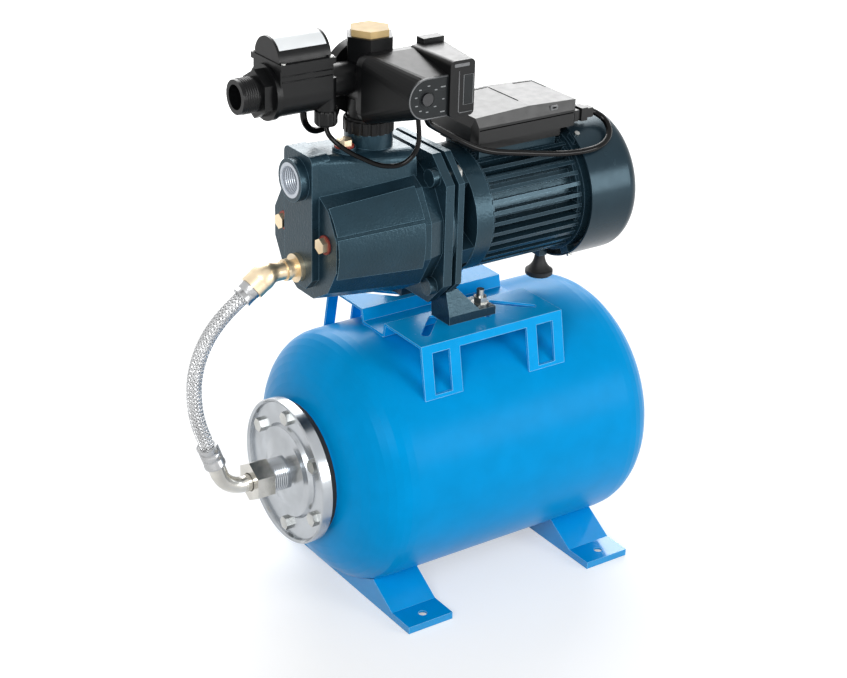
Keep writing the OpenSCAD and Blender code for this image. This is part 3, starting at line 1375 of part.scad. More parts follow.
tank_shell();
tank_foot_front();
tank_foot_rear();
pump_platform();
tank_bladder();
tank_flange();
tank_flange_bolts();
air_valve_body();
air_valve_pin();
air_valve_cap();
hose_swivel_nut();
hose_lower_elbow();
hose_ferrules();
braided_hose();
hose_upper_elbow();
pump_casing();
casing_plugs();
plug_washers();
ejector_nozzle();
diffuser();
impeller();
impeller_nut();
seal_seat();
seal_head();
motor_bracket();
joint_gasket();
joint_bolts();
front_bearing();
rear_bearing();
motor_shaft();
rotor_core();
stator_core();
stator_winding();
motor_housing();
rear_shield();
tie_rods();
fan();
fan_cover();
fan_cover_screws();
motor_foot();
pump_foot_bolts();
terminal_box();
terminal_lid();
capacitor();
motor_gland();
ring_nut();
riser_body();
top_plug();
check_valve();
control_housing();
control_panel();
restart_button();
sensor_body();
sensor_cover();
sensor_turbine();
sensor_screws();
sensor_gland();
motor_lead();
sensor_lead();
link_lead();
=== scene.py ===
import json
import math

import bpy
from mathutils import Matrix, Vector


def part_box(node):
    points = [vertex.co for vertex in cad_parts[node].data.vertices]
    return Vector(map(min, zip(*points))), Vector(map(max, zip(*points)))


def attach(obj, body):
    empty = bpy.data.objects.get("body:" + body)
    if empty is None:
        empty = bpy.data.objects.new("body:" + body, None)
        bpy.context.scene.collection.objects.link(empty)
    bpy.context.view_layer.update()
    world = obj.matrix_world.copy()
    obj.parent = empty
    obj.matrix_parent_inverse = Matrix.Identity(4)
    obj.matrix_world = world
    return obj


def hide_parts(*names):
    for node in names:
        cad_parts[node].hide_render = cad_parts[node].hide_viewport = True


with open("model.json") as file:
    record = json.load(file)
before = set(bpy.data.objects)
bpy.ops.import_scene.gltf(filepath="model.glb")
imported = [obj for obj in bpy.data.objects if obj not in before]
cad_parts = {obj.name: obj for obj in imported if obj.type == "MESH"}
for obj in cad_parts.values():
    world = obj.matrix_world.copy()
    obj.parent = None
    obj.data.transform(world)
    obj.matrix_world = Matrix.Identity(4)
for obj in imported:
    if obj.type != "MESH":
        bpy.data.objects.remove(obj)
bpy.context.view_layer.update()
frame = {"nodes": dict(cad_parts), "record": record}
nodes = frame["nodes"]
scene = bpy.context.scene
scene.view_settings.view_transform = "Standard"


# Places, in the millimetres of part.scad, which counts X from the middle between the tank's feet

feet = [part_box(name) for name in ("tank_foot_front", "tank_foot_rear")]
SHIFT_X = round(sum(corner[0] for foot in feet for corner in foot) / 4, 7)


def at(x, y, z):
    """The point in metres, in the shared frame, of a place in millimetres."""
    return Vector((x / 1000 + SHIFT_X, y / 1000, z / 1000))


def corners(node):
    """The lowest and the highest corner of a node's box, to a tenth of a millimetre."""
    return [tuple(round(v * 1000, 1) for v in (x - SHIFT_X, y, z)) for x, y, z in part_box(node)]


def middle(node):
    """The middle of a node's box, to a tenth of a millimetre."""
    return tuple(round((a + b) / 2, 1) for a, b in zip(*corners(node)))


TANK_Z = middle("tank_shell")[2]
PUMP_Z = middle("fan_cover")[2]
SUCTION_Z = PUMP_Z + 64
HOSE_PORT_Z = PUMP_Z - 28
OUTLET_Z = middle("sensor_turbine")[2]


# Camera, matched to the photograph

PHOTO_WIDTH = 847
FOCAL_PIXELS = 1861.66
SENSOR_WIDTH = 36
CAMERA_PLACE = (-1.0141485, -1.4457961, 1.0890553)
CAMERA_RIGHT = Vector((0.82462745, -0.56508122, 0.02593794))
CAMERA_BACK = Vector((-0.52050702, -0.7400285, 0.42594631))

back = CAMERA_BACK.normalized()
up = back.cross(CAMERA_RIGHT.normalized()).normalized()
right = up.cross(back).normalized()
camera_data = bpy.data.cameras.new("camera")
camera_data.lens = SENSOR_WIDTH * FOCAL_PIXELS / PHOTO_WIDTH
camera_data.sensor_width = SENSOR_WIDTH
camera_data.clip_end = 50
camera = bpy.data.objects.new("camera", camera_data)
camera.matrix_world = Matrix((
    (right.x, up.x, back.x, CAMERA_PLACE[0]),
    (right.y, up.y, back.y, CAMERA_PLACE[1]),
    (right.z, up.z, back.z, CAMERA_PLACE[2]),
    (0, 0, 0, 1),
))
scene.collection.objects.link(camera)
scene.camera = camera


def new_mesh(name, verts, faces, smooth=True):
    mesh = bpy.data.meshes.new(name)
    mesh.from_pydata([tuple(v) for v in verts], [], faces)
    mesh.update()
    if smooth:
        mesh.polygons.foreach_set("use_smooth", [True] * len(mesh.polygons))
    obj = bpy.data.objects.new(name, mesh)
    scene.collection.objects.link(obj)
    return obj


# Cords: the braided hose and the three leads, on the routes of part.scad

HOSE = [(-299.5, 0, 198), (-304, 0, 211), (-309, 0, 226), (-312.5, 0, 242), (-314, 0, 258),
        (-313.5, 0, 275), (-310.5, 0, 291), (-305, 0, 306), (-297, 0, 320), (-287, 0, 332),
        (-276, 0, 342), (-265, 0, 350), (-255, 0, 357)]
MOTOR_LEAD = [(132, -28, 485.4), (140, -28, 485.2), (147.5, -30.5, 481.5), (152.5, -36, 476.5),
              (152.5, -43.5, 471), (148, -51, 465.5), (139.5, -56.5, 461), (128, -60, 458.2),
              (113, -61, 457), (95, -59.5, 457), (74, -57.5, 459), (54, -55, 462), (34, -53, 465.5),
              (14, -51, 469), (-4, -49, 473), (-20, -48, 479), (-35, -47, 487), (-49, -47, 495.5),
              (-62, -48, 503.5), (-74, -51, 511), (-83, -55, 517.5), (-88, -59, 525),
              (-89, -60, 534)]
SENSOR_LEAD = [(-172, -12, 524.4), (-172, -12.5, 517), (-172, -16, 510.5), (-169.5, -22, 505),
               (-164, -28, 499), (-155.5, -33.5, 492.5), (-145, -39, 486.5), (-134.5, -45, 481.5),
               (-124, -50, 479.5), (-114, -54, 480.5), (-106.5, -57, 485), (-101, -59, 492),
               (-98, -60, 501), (-97.5, -60, 511), (-98.5, -60, 521), (-100, -60, 534)]
LINK_LEAD = [(-187, 4, 537), (-187, 4.5, 529), (-185, 6.5, 520), (-179, 10, 511), (-171, 14, 505),
             (-162, 17.5, 502.5), (-153, 20, 503.5), (-145.5, 21, 508.5), (-141, 20, 516.5),
             (-140, 19.5, 528)]

HOSE_R = 7.8
STRANDS = 12          # wire bundles wound each way round the hose
WINDING = 0.12        # radians that a bundle turns in a millimetre
STATIONS = 210        # cross-sections along the hose
CORE_SIDES = 20
CORE_DEPTH = 0.75     # of the dark core below the hose's radius
BUNDLE_DEPTH = 0.36   # of the middle of the woven bundles
BUNDLE_HALF = 0.4     # half a bundle's width, as a share of the space for one
BUNDLE_SECTION = ((-1, -0.12), (-0.4, 0.1), (0.4, 0.1), (1, -0.12))   # in half widths, and height
WEAVE = 0.16          # how far a bundle rises over others and dips under them


def lead(node, points, radius):
    """A round sheathed lead as one smooth bevelled spline, which stands for the node."""
    name = node + "_sheath"
    data = bpy.data.curves.new(name, "CURVE")
    data.dimensions = "3D"
    data.bevel_depth = 1
    data.bevel_resolution = 5
    data.resolution_u = 6
    data.use_fill_caps = True
    spline = data.splines.new("BEZIER")
    spline.bezier_points.add(len(points) - 1)
    for knot, p in zip(spline.bezier_points, points):
        knot.co = at(*p)
        knot.radius = radius / 1000
        knot.handle_left_type = knot.handle_right_type = "AUTO"
    obj = bpy.data.objects.new(name, data)
    scene.collection.objects.link(obj)
    bpy.context.view_layer.update()
    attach(obj, "base")
    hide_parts(node)
    return obj


leads = [lead("motor_lead", MOTOR_LEAD, 3.2), lead("sensor_lead", SENSOR_LEAD, 2.4),
         lead("link_lead", LINK_LEAD, 3.4)]


def smooth_path(points, count):
    """Points spread evenly on a smooth curve through the given ones (Catmull-Rom), and its length."""
    parts = 12
    p = [Vector(q) for q in points]
    p = [2 * p[0] - p[1]] + p + [2 * p[-1] - p[-2]]
    fine = []
    for i in range(1, len(p) - 2):
        for k in range(parts):
            t = k / parts
            fine.append(0.5 * (2 * p[i] + (p[i + 1] - p[i - 1]) * t
                               + (2 * p[i - 1] - 5 * p[i] + 4 * p[i + 1] - p[i + 2]) * t * t
                               + (3 * p[i] - 3 * p[i + 1] + p[i + 2] - p[i - 1]) * t ** 3))
    fine.append(p[-2])
    run = [0.0]
    for a, b in zip(fine, fine[1:]):
        run.append(run[-1] + (b - a).length)
    out, j = [], 0
    for k in range(count):
        want = run[-1] * k / (count - 1)
        while j < len(run) - 2 and run[j + 1] < want:
            j += 1
        out.append(fine[j].lerp(fine[j + 1], (want - run[j]) / (run[j + 1] - run[j])))
    return out, run[-1]


def tube_faces(rings, sides):
    """The faces between rings of vertices."""
    faces = []
    for i in range(rings - 1):
        for k in range(sides):
            a, b = i * sides + k, i * sides + (k + 1) % sides
            faces.append((a, b, b + sides, a + sides))
    return faces


def braid(name, path, length):
    """Braided sleeve: flat wire bundles wound both ways round a core and woven over and under.
    Gives the object and how many faces the core has. They come first."""
    count = len(path)
    sections = []
    for i, p in enumerate(path):
        along = (path[min(i + 1, count - 1)] - path[max(i - 1, 0)]).normalized()
        out = Vector((0, 1, 0)).cross(along).normalized()
        sections.append((p, out, along.cross(out)))

    def place(i, angle, r):
        p, out, side = sections[i]
        return at(*(p + out * (r * math.cos(angle)) + side * (r * math.sin(angle))))

    verts = [place(i, 2 * math.pi * k / CORE_SIDES, HOSE_R - CORE_DEPTH)
             for i in range(count) for k in range(CORE_SIDES)]
    faces = tube_faces(count, CORE_SIDES)
    core_faces = len(faces)
    across_uv = [(0, 0)] * len(verts)
    half_angle = 2 * math.pi / STRANDS * BUNDLE_HALF
    columns = len(BUNDLE_SECTION)
    for turn in (1, -1):
        for j in range(STRANDS):
            start = len(verts)
            for i in range(count):
                phase = WINDING * length * i / (count - 1)
                lift = WEAVE * turn * math.cos(phase * STRANDS)
                for k, (across, height) in enumerate(BUNDLE_SECTION):
                    angle = 2 * math.pi * j / STRANDS + turn * phase + across * half_angle
                    verts.append(place(i, angle, HOSE_R - BUNDLE_DEPTH + lift + height))
                    across_uv.append((k / (columns - 1), 1))
            for i in range(count - 1):
                for k in range(columns - 1):
                    a = start + i * columns + k
                    b = a + columns
                    faces.append((a, a + 1, b + 1, b) if turn > 0 else (a, b, b + 1, a + 1))
    obj = new_mesh(name, verts, faces)
    layer = obj.data.uv_layers.new(name="wires")
    layer.data.foreach_set("uv", [c for face in faces for v in face for c in across_uv[v]])
    return obj, core_faces


hose_path, hose_length = smooth_path(HOSE, STATIONS)
hose, hose_core_faces = braid("hose_braid", hose_path, hose_length)
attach(hose, "base")
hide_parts("braided_hose")


# Materials

MOTTLE_SIZE = 28      # of the clouds in the colour, in millimetres
SMUDGE_SIZE = 9       # of the rougher and smoother spots, in millimetres
EDGE_WIDTH = 0.0008   # of the painted highlight along a rounded edge, in metres
EDGE_TURN = (0.995, 0.90)   # cosines between face and rounded edge where the painted highlight starts and is full


def linear(c):
    return tuple((v / 12.92 if v <= 0.04045 else ((v + 0.055) / 1.055) ** 2.4) for v in c) + (1,)


def rgb(r, g, b):
    return (r / 255, g / 255, b / 255)


def shader_node(tree, kind, inputs=None, **settings):
    """A new shader node with its settings made and the given inputs filled in."""
    node = tree.nodes.new("ShaderNode" + kind)
    for name, value in settings.items():
        setattr(node, name, value)
    for socket, value in (inputs or {}).items():
        node.inputs[socket].default_value = value
    return node


def painted_edge_highlight(tree, color, edge):
    """The colour, turned into a painted edge highlight where a rounded edge would face another way than
    the surface.
    """
    link = tree.links.new
    surface = shader_node(tree, "NewGeometry")
    rounded = shader_node(tree, "Bevel", {"Radius": EDGE_WIDTH}, samples=6)
    turn = shader_node(tree, "VectorMath", operation="DOT_PRODUCT")
    edge_highlight_mask = shader_node(tree, "MapRange", {"From Min": EDGE_TURN[0], "From Max": EDGE_TURN[1]})
    edge_highlighted = shader_node(tree, "Mix", {"B": linear(edge)}, data_type="RGBA")
    link(surface.outputs["Normal"], turn.inputs[0])
    link(rounded.outputs["Normal"], turn.inputs[1])
    link(turn.outputs["Value"], edge_highlight_mask.inputs["Value"])
    link(edge_highlight_mask.outputs["Result"], edge_highlighted.inputs["Factor"])
    link(color, edge_highlighted.inputs["A"])
    return edge_highlighted.outputs["Result"]


def material(name, color, rough, metal=0.0, specular=0.5, tint=(1, 1, 1), mottle=0.08,
             rough_var=0.08, coat=0.0, coat_rough=0.1, grain=0.0, grain_size=1.0, fine=0.0,
             fine_size=0.2, stretch=(1, 1, 1), edge=None):
    """Principled surface with mottled colour, uneven roughness and two layers of bumps, grain and
    fine, whose depths and sizes are in millimetres. edge is the colour of a painted highlight along
    rounded edges."""
    mat = bpy.data.materials.new(name)
    mat.use_nodes = True
    tree = mat.node_tree
    link = tree.links.new
    bsdf = tree.nodes["Principled BSDF"]
    bsdf.inputs["Metallic"].default_value = metal
    bsdf.inputs["Specular IOR Level"].default_value = specular
    bsdf.inputs["Specular Tint"].default_value = linear(tint)
    bsdf.inputs["Coat Weight"].default_value = coat
    bsdf.inputs["Coat Roughness"].default_value = coat_rough
    coords = shader_node(tree, "TexCoord")
    mapping = shader_node(tree, "Mapping", {"Scale": [s * 1000 for s in stretch]})
    link(coords.outputs["Object"], mapping.inputs["Vector"])

    def noise(size, detail):
        tex = shader_node(tree, "TexNoise", {"Scale": 1 / size, "Detail": detail})
        link(mapping.outputs["Vector"], tex.inputs["Vector"])
        return tex.outputs["Fac"]

    ramp = shader_node(tree, "ValToRGB")
    dark, light = ramp.color_ramp.elements
    dark.position = 0.3
    dark.color = linear([max(0, v * (1 - mottle)) for v in color])
    light.position = 0.7
    light.color = linear([min(1, v * (1 + mottle) + 0.01 * mottle) for v in color])
    link(noise(MOTTLE_SIZE, 4), ramp.inputs["Fac"])
    shade = ramp.outputs["Color"]
    if edge is not None:
        shade = painted_edge_highlight(tree, shade, edge)
    link(shade, bsdf.inputs["Base Color"])

    spread = shader_node(tree, "MapRange", {"To Min": max(0.02, rough - rough_var),
                                            "To Max": min(1, rough + rough_var)})
    link(noise(SMUDGE_SIZE, 3), spread.inputs["Value"])
    link(spread.outputs["Result"], bsdf.inputs["Roughness"])

    last = None
    for depth, size in ((grain, grain_size), (fine, fine_size)):
        if depth > 0:
            bump = shader_node(tree, "Bump", {"Strength": 1, "Distance": depth / 1000})
            link(noise(size, 2), bump.inputs["Height"])
            if last is not None:
                link(last.outputs["Normal"], bump.inputs["Normal"])
            last = bump
    if last is not None:
        link(last.outputs["Normal"], bsdf.inputs["Normal"])
    return mat


# Paints

# The edge colours of the paints below are painted highlights along rounded edges.
TANK = material("tank_paint", rgb(0, 145, 211), 0.30, mottle=0.02, grain=0.015, grain_size=3,
                rough_var=0.05, specular=0.08, tint=rgb(150, 215, 255))
FOOT = material("foot_paint", rgb(0, 147, 213), 0.16, mottle=0.02, grain=0.015, grain_size=3,
                rough_var=0.04, coat=0.6, coat_rough=0.07, specular=0.3, tint=rgb(200, 235, 255),
                edge=rgb(130, 204, 244))
# Lighter blue than the tank's paint: painted light against the shade that the motor casts on the
# platform.
PLATFORM = material("platform_paint_lightened", rgb(0, 155, 224), 0.26, mottle=0.02, grain=0.015,
                    grain_size=3, rough_var=0.04, specular=0.14, tint=rgb(150, 215, 255),
                    edge=rgb(150, 212, 244))
CAST = material("cast_paint", rgb(22, 40, 50), 0.30, mottle=0.09, grain=0.26, grain_size=2.6,
                fine=0.09, fine_size=0.8, specular=0.48, tint=rgb(186, 234, 255),
                edge=rgb(92, 122, 138))
MOTOR = material("motor_paint", rgb(22, 39, 48), 0.28, mottle=0.10, grain=0.08, grain_size=1.8,
                 specular=0.44, tint=rgb(190, 234, 255), edge=rgb(88, 110, 124))
COVER = material("cover_paint", rgb(24, 39, 48), 0.24, mottle=0.05, grain=0.02, grain_size=2.4,
                 specular=0.34, tint=rgb(190, 234, 255))

# Metals and ceramic

ZINC = material("zinc_plate", rgb(176, 180, 184), 0.22, metal=1.0, mottle=0.05, rough_var=0.05,
                grain=0.03, grain_size=5)
PALE = material("pale_zinc", rgb(196, 203, 212), 0.35, metal=0.35, mottle=0.05, grain=0.01,
                grain_size=0.8)
BOLT = material("zinc_bolt", rgb(182, 183, 180), 0.30, metal=1.0, mottle=0.10, rough_var=0.1)
NICKEL = material("nickel", rgb(198, 196, 190), 0.22, metal=1.0)
STEEL = material("steel", rgb(176, 177, 178), 0.28, metal=1.0)
BRAID = material("steel_braid", rgb(206, 207, 208), 0.2, metal=1.0, mottle=0.06)
BRASS = material("brass", rgb(233, 214, 182), 0.36, metal=1.0, grain=0.02, grain_size=0.8)
PLUG = material("brass_plug", rgb(188, 163, 116), 0.5, metal=0.05, mottle=0.1, rough_var=0.1,
                grain=0.02, grain_size=0.8, specular=0.15)
STACK = material("lamination", rgb(108, 108, 112), 0.4, metal=1.0, mottle=0.1,
                 stretch=(6, 0.2, 0.2), grain=0.05, grain_size=2)
COPPER = material("winding", rgb(168, 96, 58), 0.35, metal=0.7, mottle=0.15, grain=0.2)
CERAMIC = material("ceramic", rgb(228, 226, 220), 0.3, mottle=0.04)

# Plastics and rubber

BLACK = material("control_plastic", rgb(11, 12, 13), 0.33, grain=0.012, grain_size=0.5,
                 specular=0.22)
BOX = material("box_plastic", rgb(15, 16, 17), 0.34, grain=0.012, grain_size=0.5, specular=0.33)
RUBBER = material("rubber", rgb(15, 16, 17), 0.6, mottle=0.1, grain=0.02, grain_size=0.6)
SHEATH = material("lead_sheath", rgb(8, 8, 9), 0.13, mottle=0.06, fine=0.004, fine_size=0.5,
                  rough_var=0.03, specular=0.17)
RED = material("red_washer", rgb(138, 50, 40), 0.5, mottle=0.15)
WHITE = material("white_plastic", rgb(225, 226, 224), 0.4, mottle=0.04)
GREY = material("grey_plastic", rgb(76, 77, 79), 0.5, mottle=0.06)
PANEL = material("panel", rgb(24, 28, 30), 0.36, mottle=0.06, grain=0.01, grain_size=0.4,
                 specular=0.2)
BUTTON = material("button", rgb(34, 35, 38), 0.25, mottle=0.05)
STICKER = material("blank_sticker", rgb(232, 236, 238), 0.18, mottle=0.02, rough_var=0.03,
                   coat=0.5)
MARK = material("pale_mark", rgb(132, 136, 138), 0.4, mottle=0.03)
# Pale grey that paints a highlight on the panel's bead, the column's window and the lid's clip; the
# column's line is drawn in it too.
BEAD = material("grey_plastic_painted_highlight", rgb(104, 106, 108), 0.28, mottle=0.05)
# Near black without reflection: painted shade in the hose's core between its wire bundles, in the lid's
# groove, lines and seam, and in the clip's slot.
PAINTED_SHADE = material("painted_shade_black", rgb(8, 8, 9), 0.9, mottle=0.2, specular=0.0)


def add_wires(mat, count):
    """Fine wires along each woven bundle: count ridges across the bundle's own coordinate."""
    tree = mat.node_tree
    link = tree.links.new
    uv = shader_node(tree, "UVMap", uv_map="wires")
    split = shader_node(tree, "SeparateXYZ")
    times = shader_node(tree, "Math", {1: 2 * math.pi * count}, operation="MULTIPLY")
    wave = shader_node(tree, "Math", operation="COSINE")
    bump = shader_node(tree, "Bump", {"Distance": 0.00012})
    link(uv.outputs["UV"], split.inputs["Vector"])
    link(split.outputs["X"], times.inputs[0])
    link(times.outputs[0], wave.inputs[0])
    link(wave.outputs[0], bump.inputs["Height"])
    link(bump.outputs["Normal"], tree.nodes["Principled BSDF"].inputs["Normal"])


add_wires(BRAID, 4)

SLOT_FINISH = {
    "tank_blue": TANK, "bladder_rubber": RUBBER, "galvanised": ZINC, "zinc_bolts": BOLT,
    "plated_fittings": NICKEL, "braid": STEEL, "brass": BRASS, "cast_paint": CAST,
    "motor_paint": MOTOR, "cover_paint": COVER, "red_washer": RED, "gasket_rubber": RUBBER,
    "water_plastic": GREY, "stainless": STEEL, "shaft_steel": STEEL, "ceramic": CERAMIC,
    "seal_carbon": RUBBER, "lamination": STACK, "winding": COPPER, "control_plastic": BLACK,
    "box_plastic": BOX, "fan_plastic": BOX, "foot_rubber": RUBBER, "panel_grey": PANEL,
    "button_plastic": BUTTON, "white_plastic": WHITE, "lead_sheath": SHEATH,
}
NODE_FINISH = {
    "top_plug": PLUG, "pump_platform": PLATFORM, "tank_foot_front": FOOT, "tank_foot_rear": FOOT,
}
for part in frame["record"]["subparts"]:
    node_materials = nodes[part["node"]].data.materials
    node_materials.clear()
    node_materials.append(NODE_FINISH.get(part["node"], SLOT_FINISH[part["material_slot"]]))

for piece in leads:
    piece.data.materials.append(SHEATH)
hose.data.materials.append(BRAID)
hose.data.materials.append(PAINTED_SHADE)
# The core's faces take the painted shade that shows between the wire bundles.
for face in hose.data.polygons[:hose_core_faces]:
    face.material_index = 1


# Shapes of the small pieces that the solids leave out, with sizes in millimetres

def dress(obj, mat):
    """Gives a new piece its material and fixes it to the base."""
    obj.data.materials.append(mat)
    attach(obj, "base")


def thread(name, x0, x1, z, radius, depth, inward=False):
    """Turns of a pipe thread round an axis along X: one helical ridge that runs out at both ends."""
    pitch = 2.3
    turn_steps = 40
    run_out_steps = 30
    sunk = -0.25      # height of the ridge's two edges, inside the cylinder
    lowest = 0.02     # height of the crest where the ridge has run out
    verts, faces = [], []
    turns = (x1 - x0) / pitch - 1
    steps = int(turns * turn_steps)
    sign = -1 if inward else 1
    for i in range(steps + 1):
        a = 2 * math.pi * turns * i / steps
        x = x0 + pitch * (0.5 + turns * i / steps)
        rise = depth * min(1, i / run_out_steps, (steps - i) / run_out_steps) + lowest
        for across, height in ((-0.42, sunk), (-0.1, rise), (0.1, rise), (0.42, sunk)):
            r = radius + sign * height
            verts.append(at(x + across * pitch, -r * math.sin(a), z + r * math.cos(a)))
    for i in range(steps):
        for k in range(3):
            a = i * 4 + k
            quad = (a, a + 1, a + 5, a + 4)
            faces.append(quad if inward else quad[::-1])
    return new_mesh(name, verts, faces)


def band(name, x0, x1, z, radius, thick, deg0, deg1, rows=2, swell=0.0):
    """Thin plate on a cylinder round an axis along X. Angles run from the top towards the near side,
    radius may be a pair for a cone, and swell lifts the two long edges."""
    steps = 36
    columns = steps + 1
    r0, r1 = radius if isinstance(radius, tuple) else (radius, radius)
    verts, faces = [], []
    for level in (0, 1):
        for j in range(rows):
            t = j / (rows - 1)
            for i in range(columns):
                q = i / steps
                a = math.radians(deg0 + (deg1 - deg0) * q)
                r = r0 + (r1 - r0) * t + level * (thick + swell * (2 * q - 1) ** 2)
                verts.append(at(x0 + (x1 - x0) * t, -r * math.sin(a), z + r * math.cos(a)))
    layer = rows * columns
    for j in range(rows - 1):
        for i in range(steps):
            a = j * columns + i
            b = a + columns
            faces.append((a, b, b + 1, a + 1))
            faces.append((a + layer, a + 1 + layer, b + 1 + layer, b + layer))
    rim = [j * columns for j in range(rows)]
    rim += [(rows - 1) * columns + i for i in range(1, columns)]
    rim += [j * columns + steps for j in range(rows - 2, -1, -1)]
    rim += list(range(steps - 1, 0, -1))
    for a, b in zip(rim, rim[1:] + rim[:1]):
        faces.append((a, a + layer, b + layer, b))
    obj = new_mesh(name, verts, faces)
    obj.data.set_sharp_from_angle(angle=math.radians(40))
    return obj


def rod_along(name, points, radius, closed=False):
    """A thin round bead along points."""
    sides = 8
    slanted = Vector((0.31, 0.87, 0.38))     # a direction that no bead runs along
    pts = [at(*p) for p in points]
    n = len(pts)
    verts, faces = [], []
    for i, p in enumerate(pts):
        a = pts[(i - 1) % n] if closed or i > 0 else p
        b = pts[(i + 1) % n] if closed or i < n - 1 else p
        along = (b - a).normalized()
        side = along.cross(slanted).normalized()
        other = along.cross(side)
        for k in range(sides):
            t = 2 * math.pi * k / sides
            verts.append(p + (side * math.cos(t) + other * math.sin(t)) * (radius / 1000))
    for i in range(n if closed else n - 1):
        for k in range(sides):
            a, b = i * sides + k, i * sides + (k + 1) % sides
            c = (i + 1) % n * sides
            faces.append((a, b, c + (k + 1) % sides, c + k))
    if not closed:
        faces.append(tuple(range(sides))[::-1])
        faces.append(tuple(range((n - 1) * sides, n * sides)))
    return new_mesh(name, verts, faces)


def tile(name, x, y, z, width, height, thick, corner):
    """A small plate with rounded corners and a bevelled rim on a face that looks to -Y."""
    sunk = 0.4        # how deep its back lies in that face
    front_scale = 0.92
    outline = []
    for cx, cz, start in ((1, 1, 0), (-1, 1, 90), (-1, -1, 180), (1, -1, 270)):
        for k in range(5):
            a = math.radians(start + 90 * k / 4)
            outline.append((cx * (width / 2 - corner) + corner * math.cos(a),
                            cz * (height / 2 - corner) + corner * math.sin(a)))
    levels = ((sunk, 1), (-thick * 0.5, 1), (-thick, front_scale))
    verts = [at(x + u * scale, y + depth, z + v * scale) for depth, scale in levels for u, v in outline]
    n = len(outline)
    faces = []
    for level in (0, 1):
        for k in range(n):
            a, b = level * n + k, level * n + (k + 1) % n
            faces.append((a, a + n, b + n, b))
    faces.append(tuple(range(2 * n, 3 * n))[::-1])
    faces.append(tuple(range(n)))
    return new_mesh(name, verts, faces, smooth=False)


def on_circle(cx, cz, r, degrees):
    """Places (x, z) on a circle, at angles from +X towards +Z."""
    return [(cx + r * math.cos(math.radians(d)), cz + r * math.sin(math.radians(d))) for d in degrees]


def arc(cx, cz, r, deg0, deg1, y, steps):
    """Points of an arc on a face that looks to -Y."""
    degrees = [deg0 + (deg1 - deg0) * i / steps for i in range(steps + 1)]
    return [(x, y, z) for x, z in on_circle(cx, cz, r, degrees)]


def along_line(start, end, profile):
    """Rings (x, z, radius) on the line from start to end in the plane y = 0, from a profile of
    distances from start and radii."""
    (x0, z0), (x1, z1) = start, end
    d = math.hypot(x1 - x0, z1 - z0)
    return [(x0 + (x1 - x0) * s / d, z0 + (z1 - z0) * s / d, r) for s, r in profile]


def sleeve(name, rings):
    """A round body through rings (x, z, radius) whose middles lie in the plane y = 0."""
    sides = 40
    across = Vector((0, 1, 0))
    verts = []
    for i, (x, z, radius) in enumerate(rings):
        ax, az, _ = rings[max(i - 1, 0)]
        bx, bz, _ = rings[min(i + 1, len(rings) - 1)]
        out = across.cross(Vector((bx - ax, 0, bz - az)).normalized())
        for k in range(sides):
            t = 2 * math.pi * k / sides
            q = Vector((x, 0, z)) + out * (radius * math.cos(t)) + across * (radius * math.sin(t))
            verts.append(at(*q))
    obj = new_mesh(name, verts, tube_faces(len(rings), sides))
    obj.data.set_sharp_from_angle(angle=math.radians(50))
    return obj


def knurled(name, x, y, z0, z1, radius, ribs, depth):
    """A ribbed cap nut round a vertical axis, with rounded ends."""
    sides = ribs * 8
    levels = ((z0, 0.86), (z0 + 0.8, 0.97), (z0 + 2, 1), (z1 - 2, 1), (z1 - 0.8, 0.97), (z1, 0.9))
    verts = []
    for z, scale in levels:
        for k in range(sides):
            a = 2 * math.pi * k / sides
            r = radius * scale + depth * (0.5 + 0.5 * math.cos(ribs * a)) ** 0.6
            verts.append(at(x + r * math.cos(a), y + r * math.sin(a), z))
    return new_mesh(name, verts, tube_faces(len(levels), sides))


# Threads on the outlet and the tank's nipple, and the plated sleeve and thread of the suction port

PIPE_R = 16.6         # of a one inch pipe at the root of its thread
dress(thread("outlet_thread", -262, -244, OUTLET_Z, PIPE_R, 0.55), BLACK)
dress(thread("nipple_thread", -246, -215, TANK_Z, PIPE_R, 0.5), ZINC)
dress(band("port_sleeve", -205, -188, SUCTION_Z, 13.9, 1.2, 0, 360), PALE)
dress(band("port_rim", -205.5, -204.8, SUCTION_Z, 14.6, 3.0, 0, 360), PALE)
dress(thread("port_thread", -204, -189, SUCTION_Z, 14.0, 0.6, inward=True), PALE)


# Ferrules with their crimped bands and rolled ends, as distances along the axis and radii

LOWER_AXIS = ((-292.695, 179.016), (-301.6, 203.5))
LOWER_CRIMP = [(0, 9.4), (0.6, 11.1), (2.6, 11.1), (3.2, 10.55), (9, 10.55), (9.6, 9.9), (10.6, 9.9),
               (11.2, 10.6), (17, 10.6), (17.6, 9.9), (18.6, 9.9), (19.2, 10.6), (23.4, 10.6),
               (24, 11), (25.8, 11), (26.2, 9.2)]
UPPER_AXIS = ((-238.6, 368.4), (-259.9, 353.5))
UPPER_CRIMP = [(12.1, 9.6), (12.6, 10.9), (14.4, 10.9), (15, 10.55), (18.4, 10.55), (19, 9.9),
               (20, 9.9), (20.6, 10.6), (24, 10.6), (24.5, 11), (25.7, 11), (26, 9)]
dress(sleeve("ferrule_crimp_low", along_line(*LOWER_AXIS, LOWER_CRIMP)), STEEL)
dress(sleeve("ferrule_crimp_top", along_line(*UPPER_AXIS, UPPER_CRIMP)), STEEL)


# Round body of the brass elbow: radii by X, then by degrees of the bend, then along the upper axis

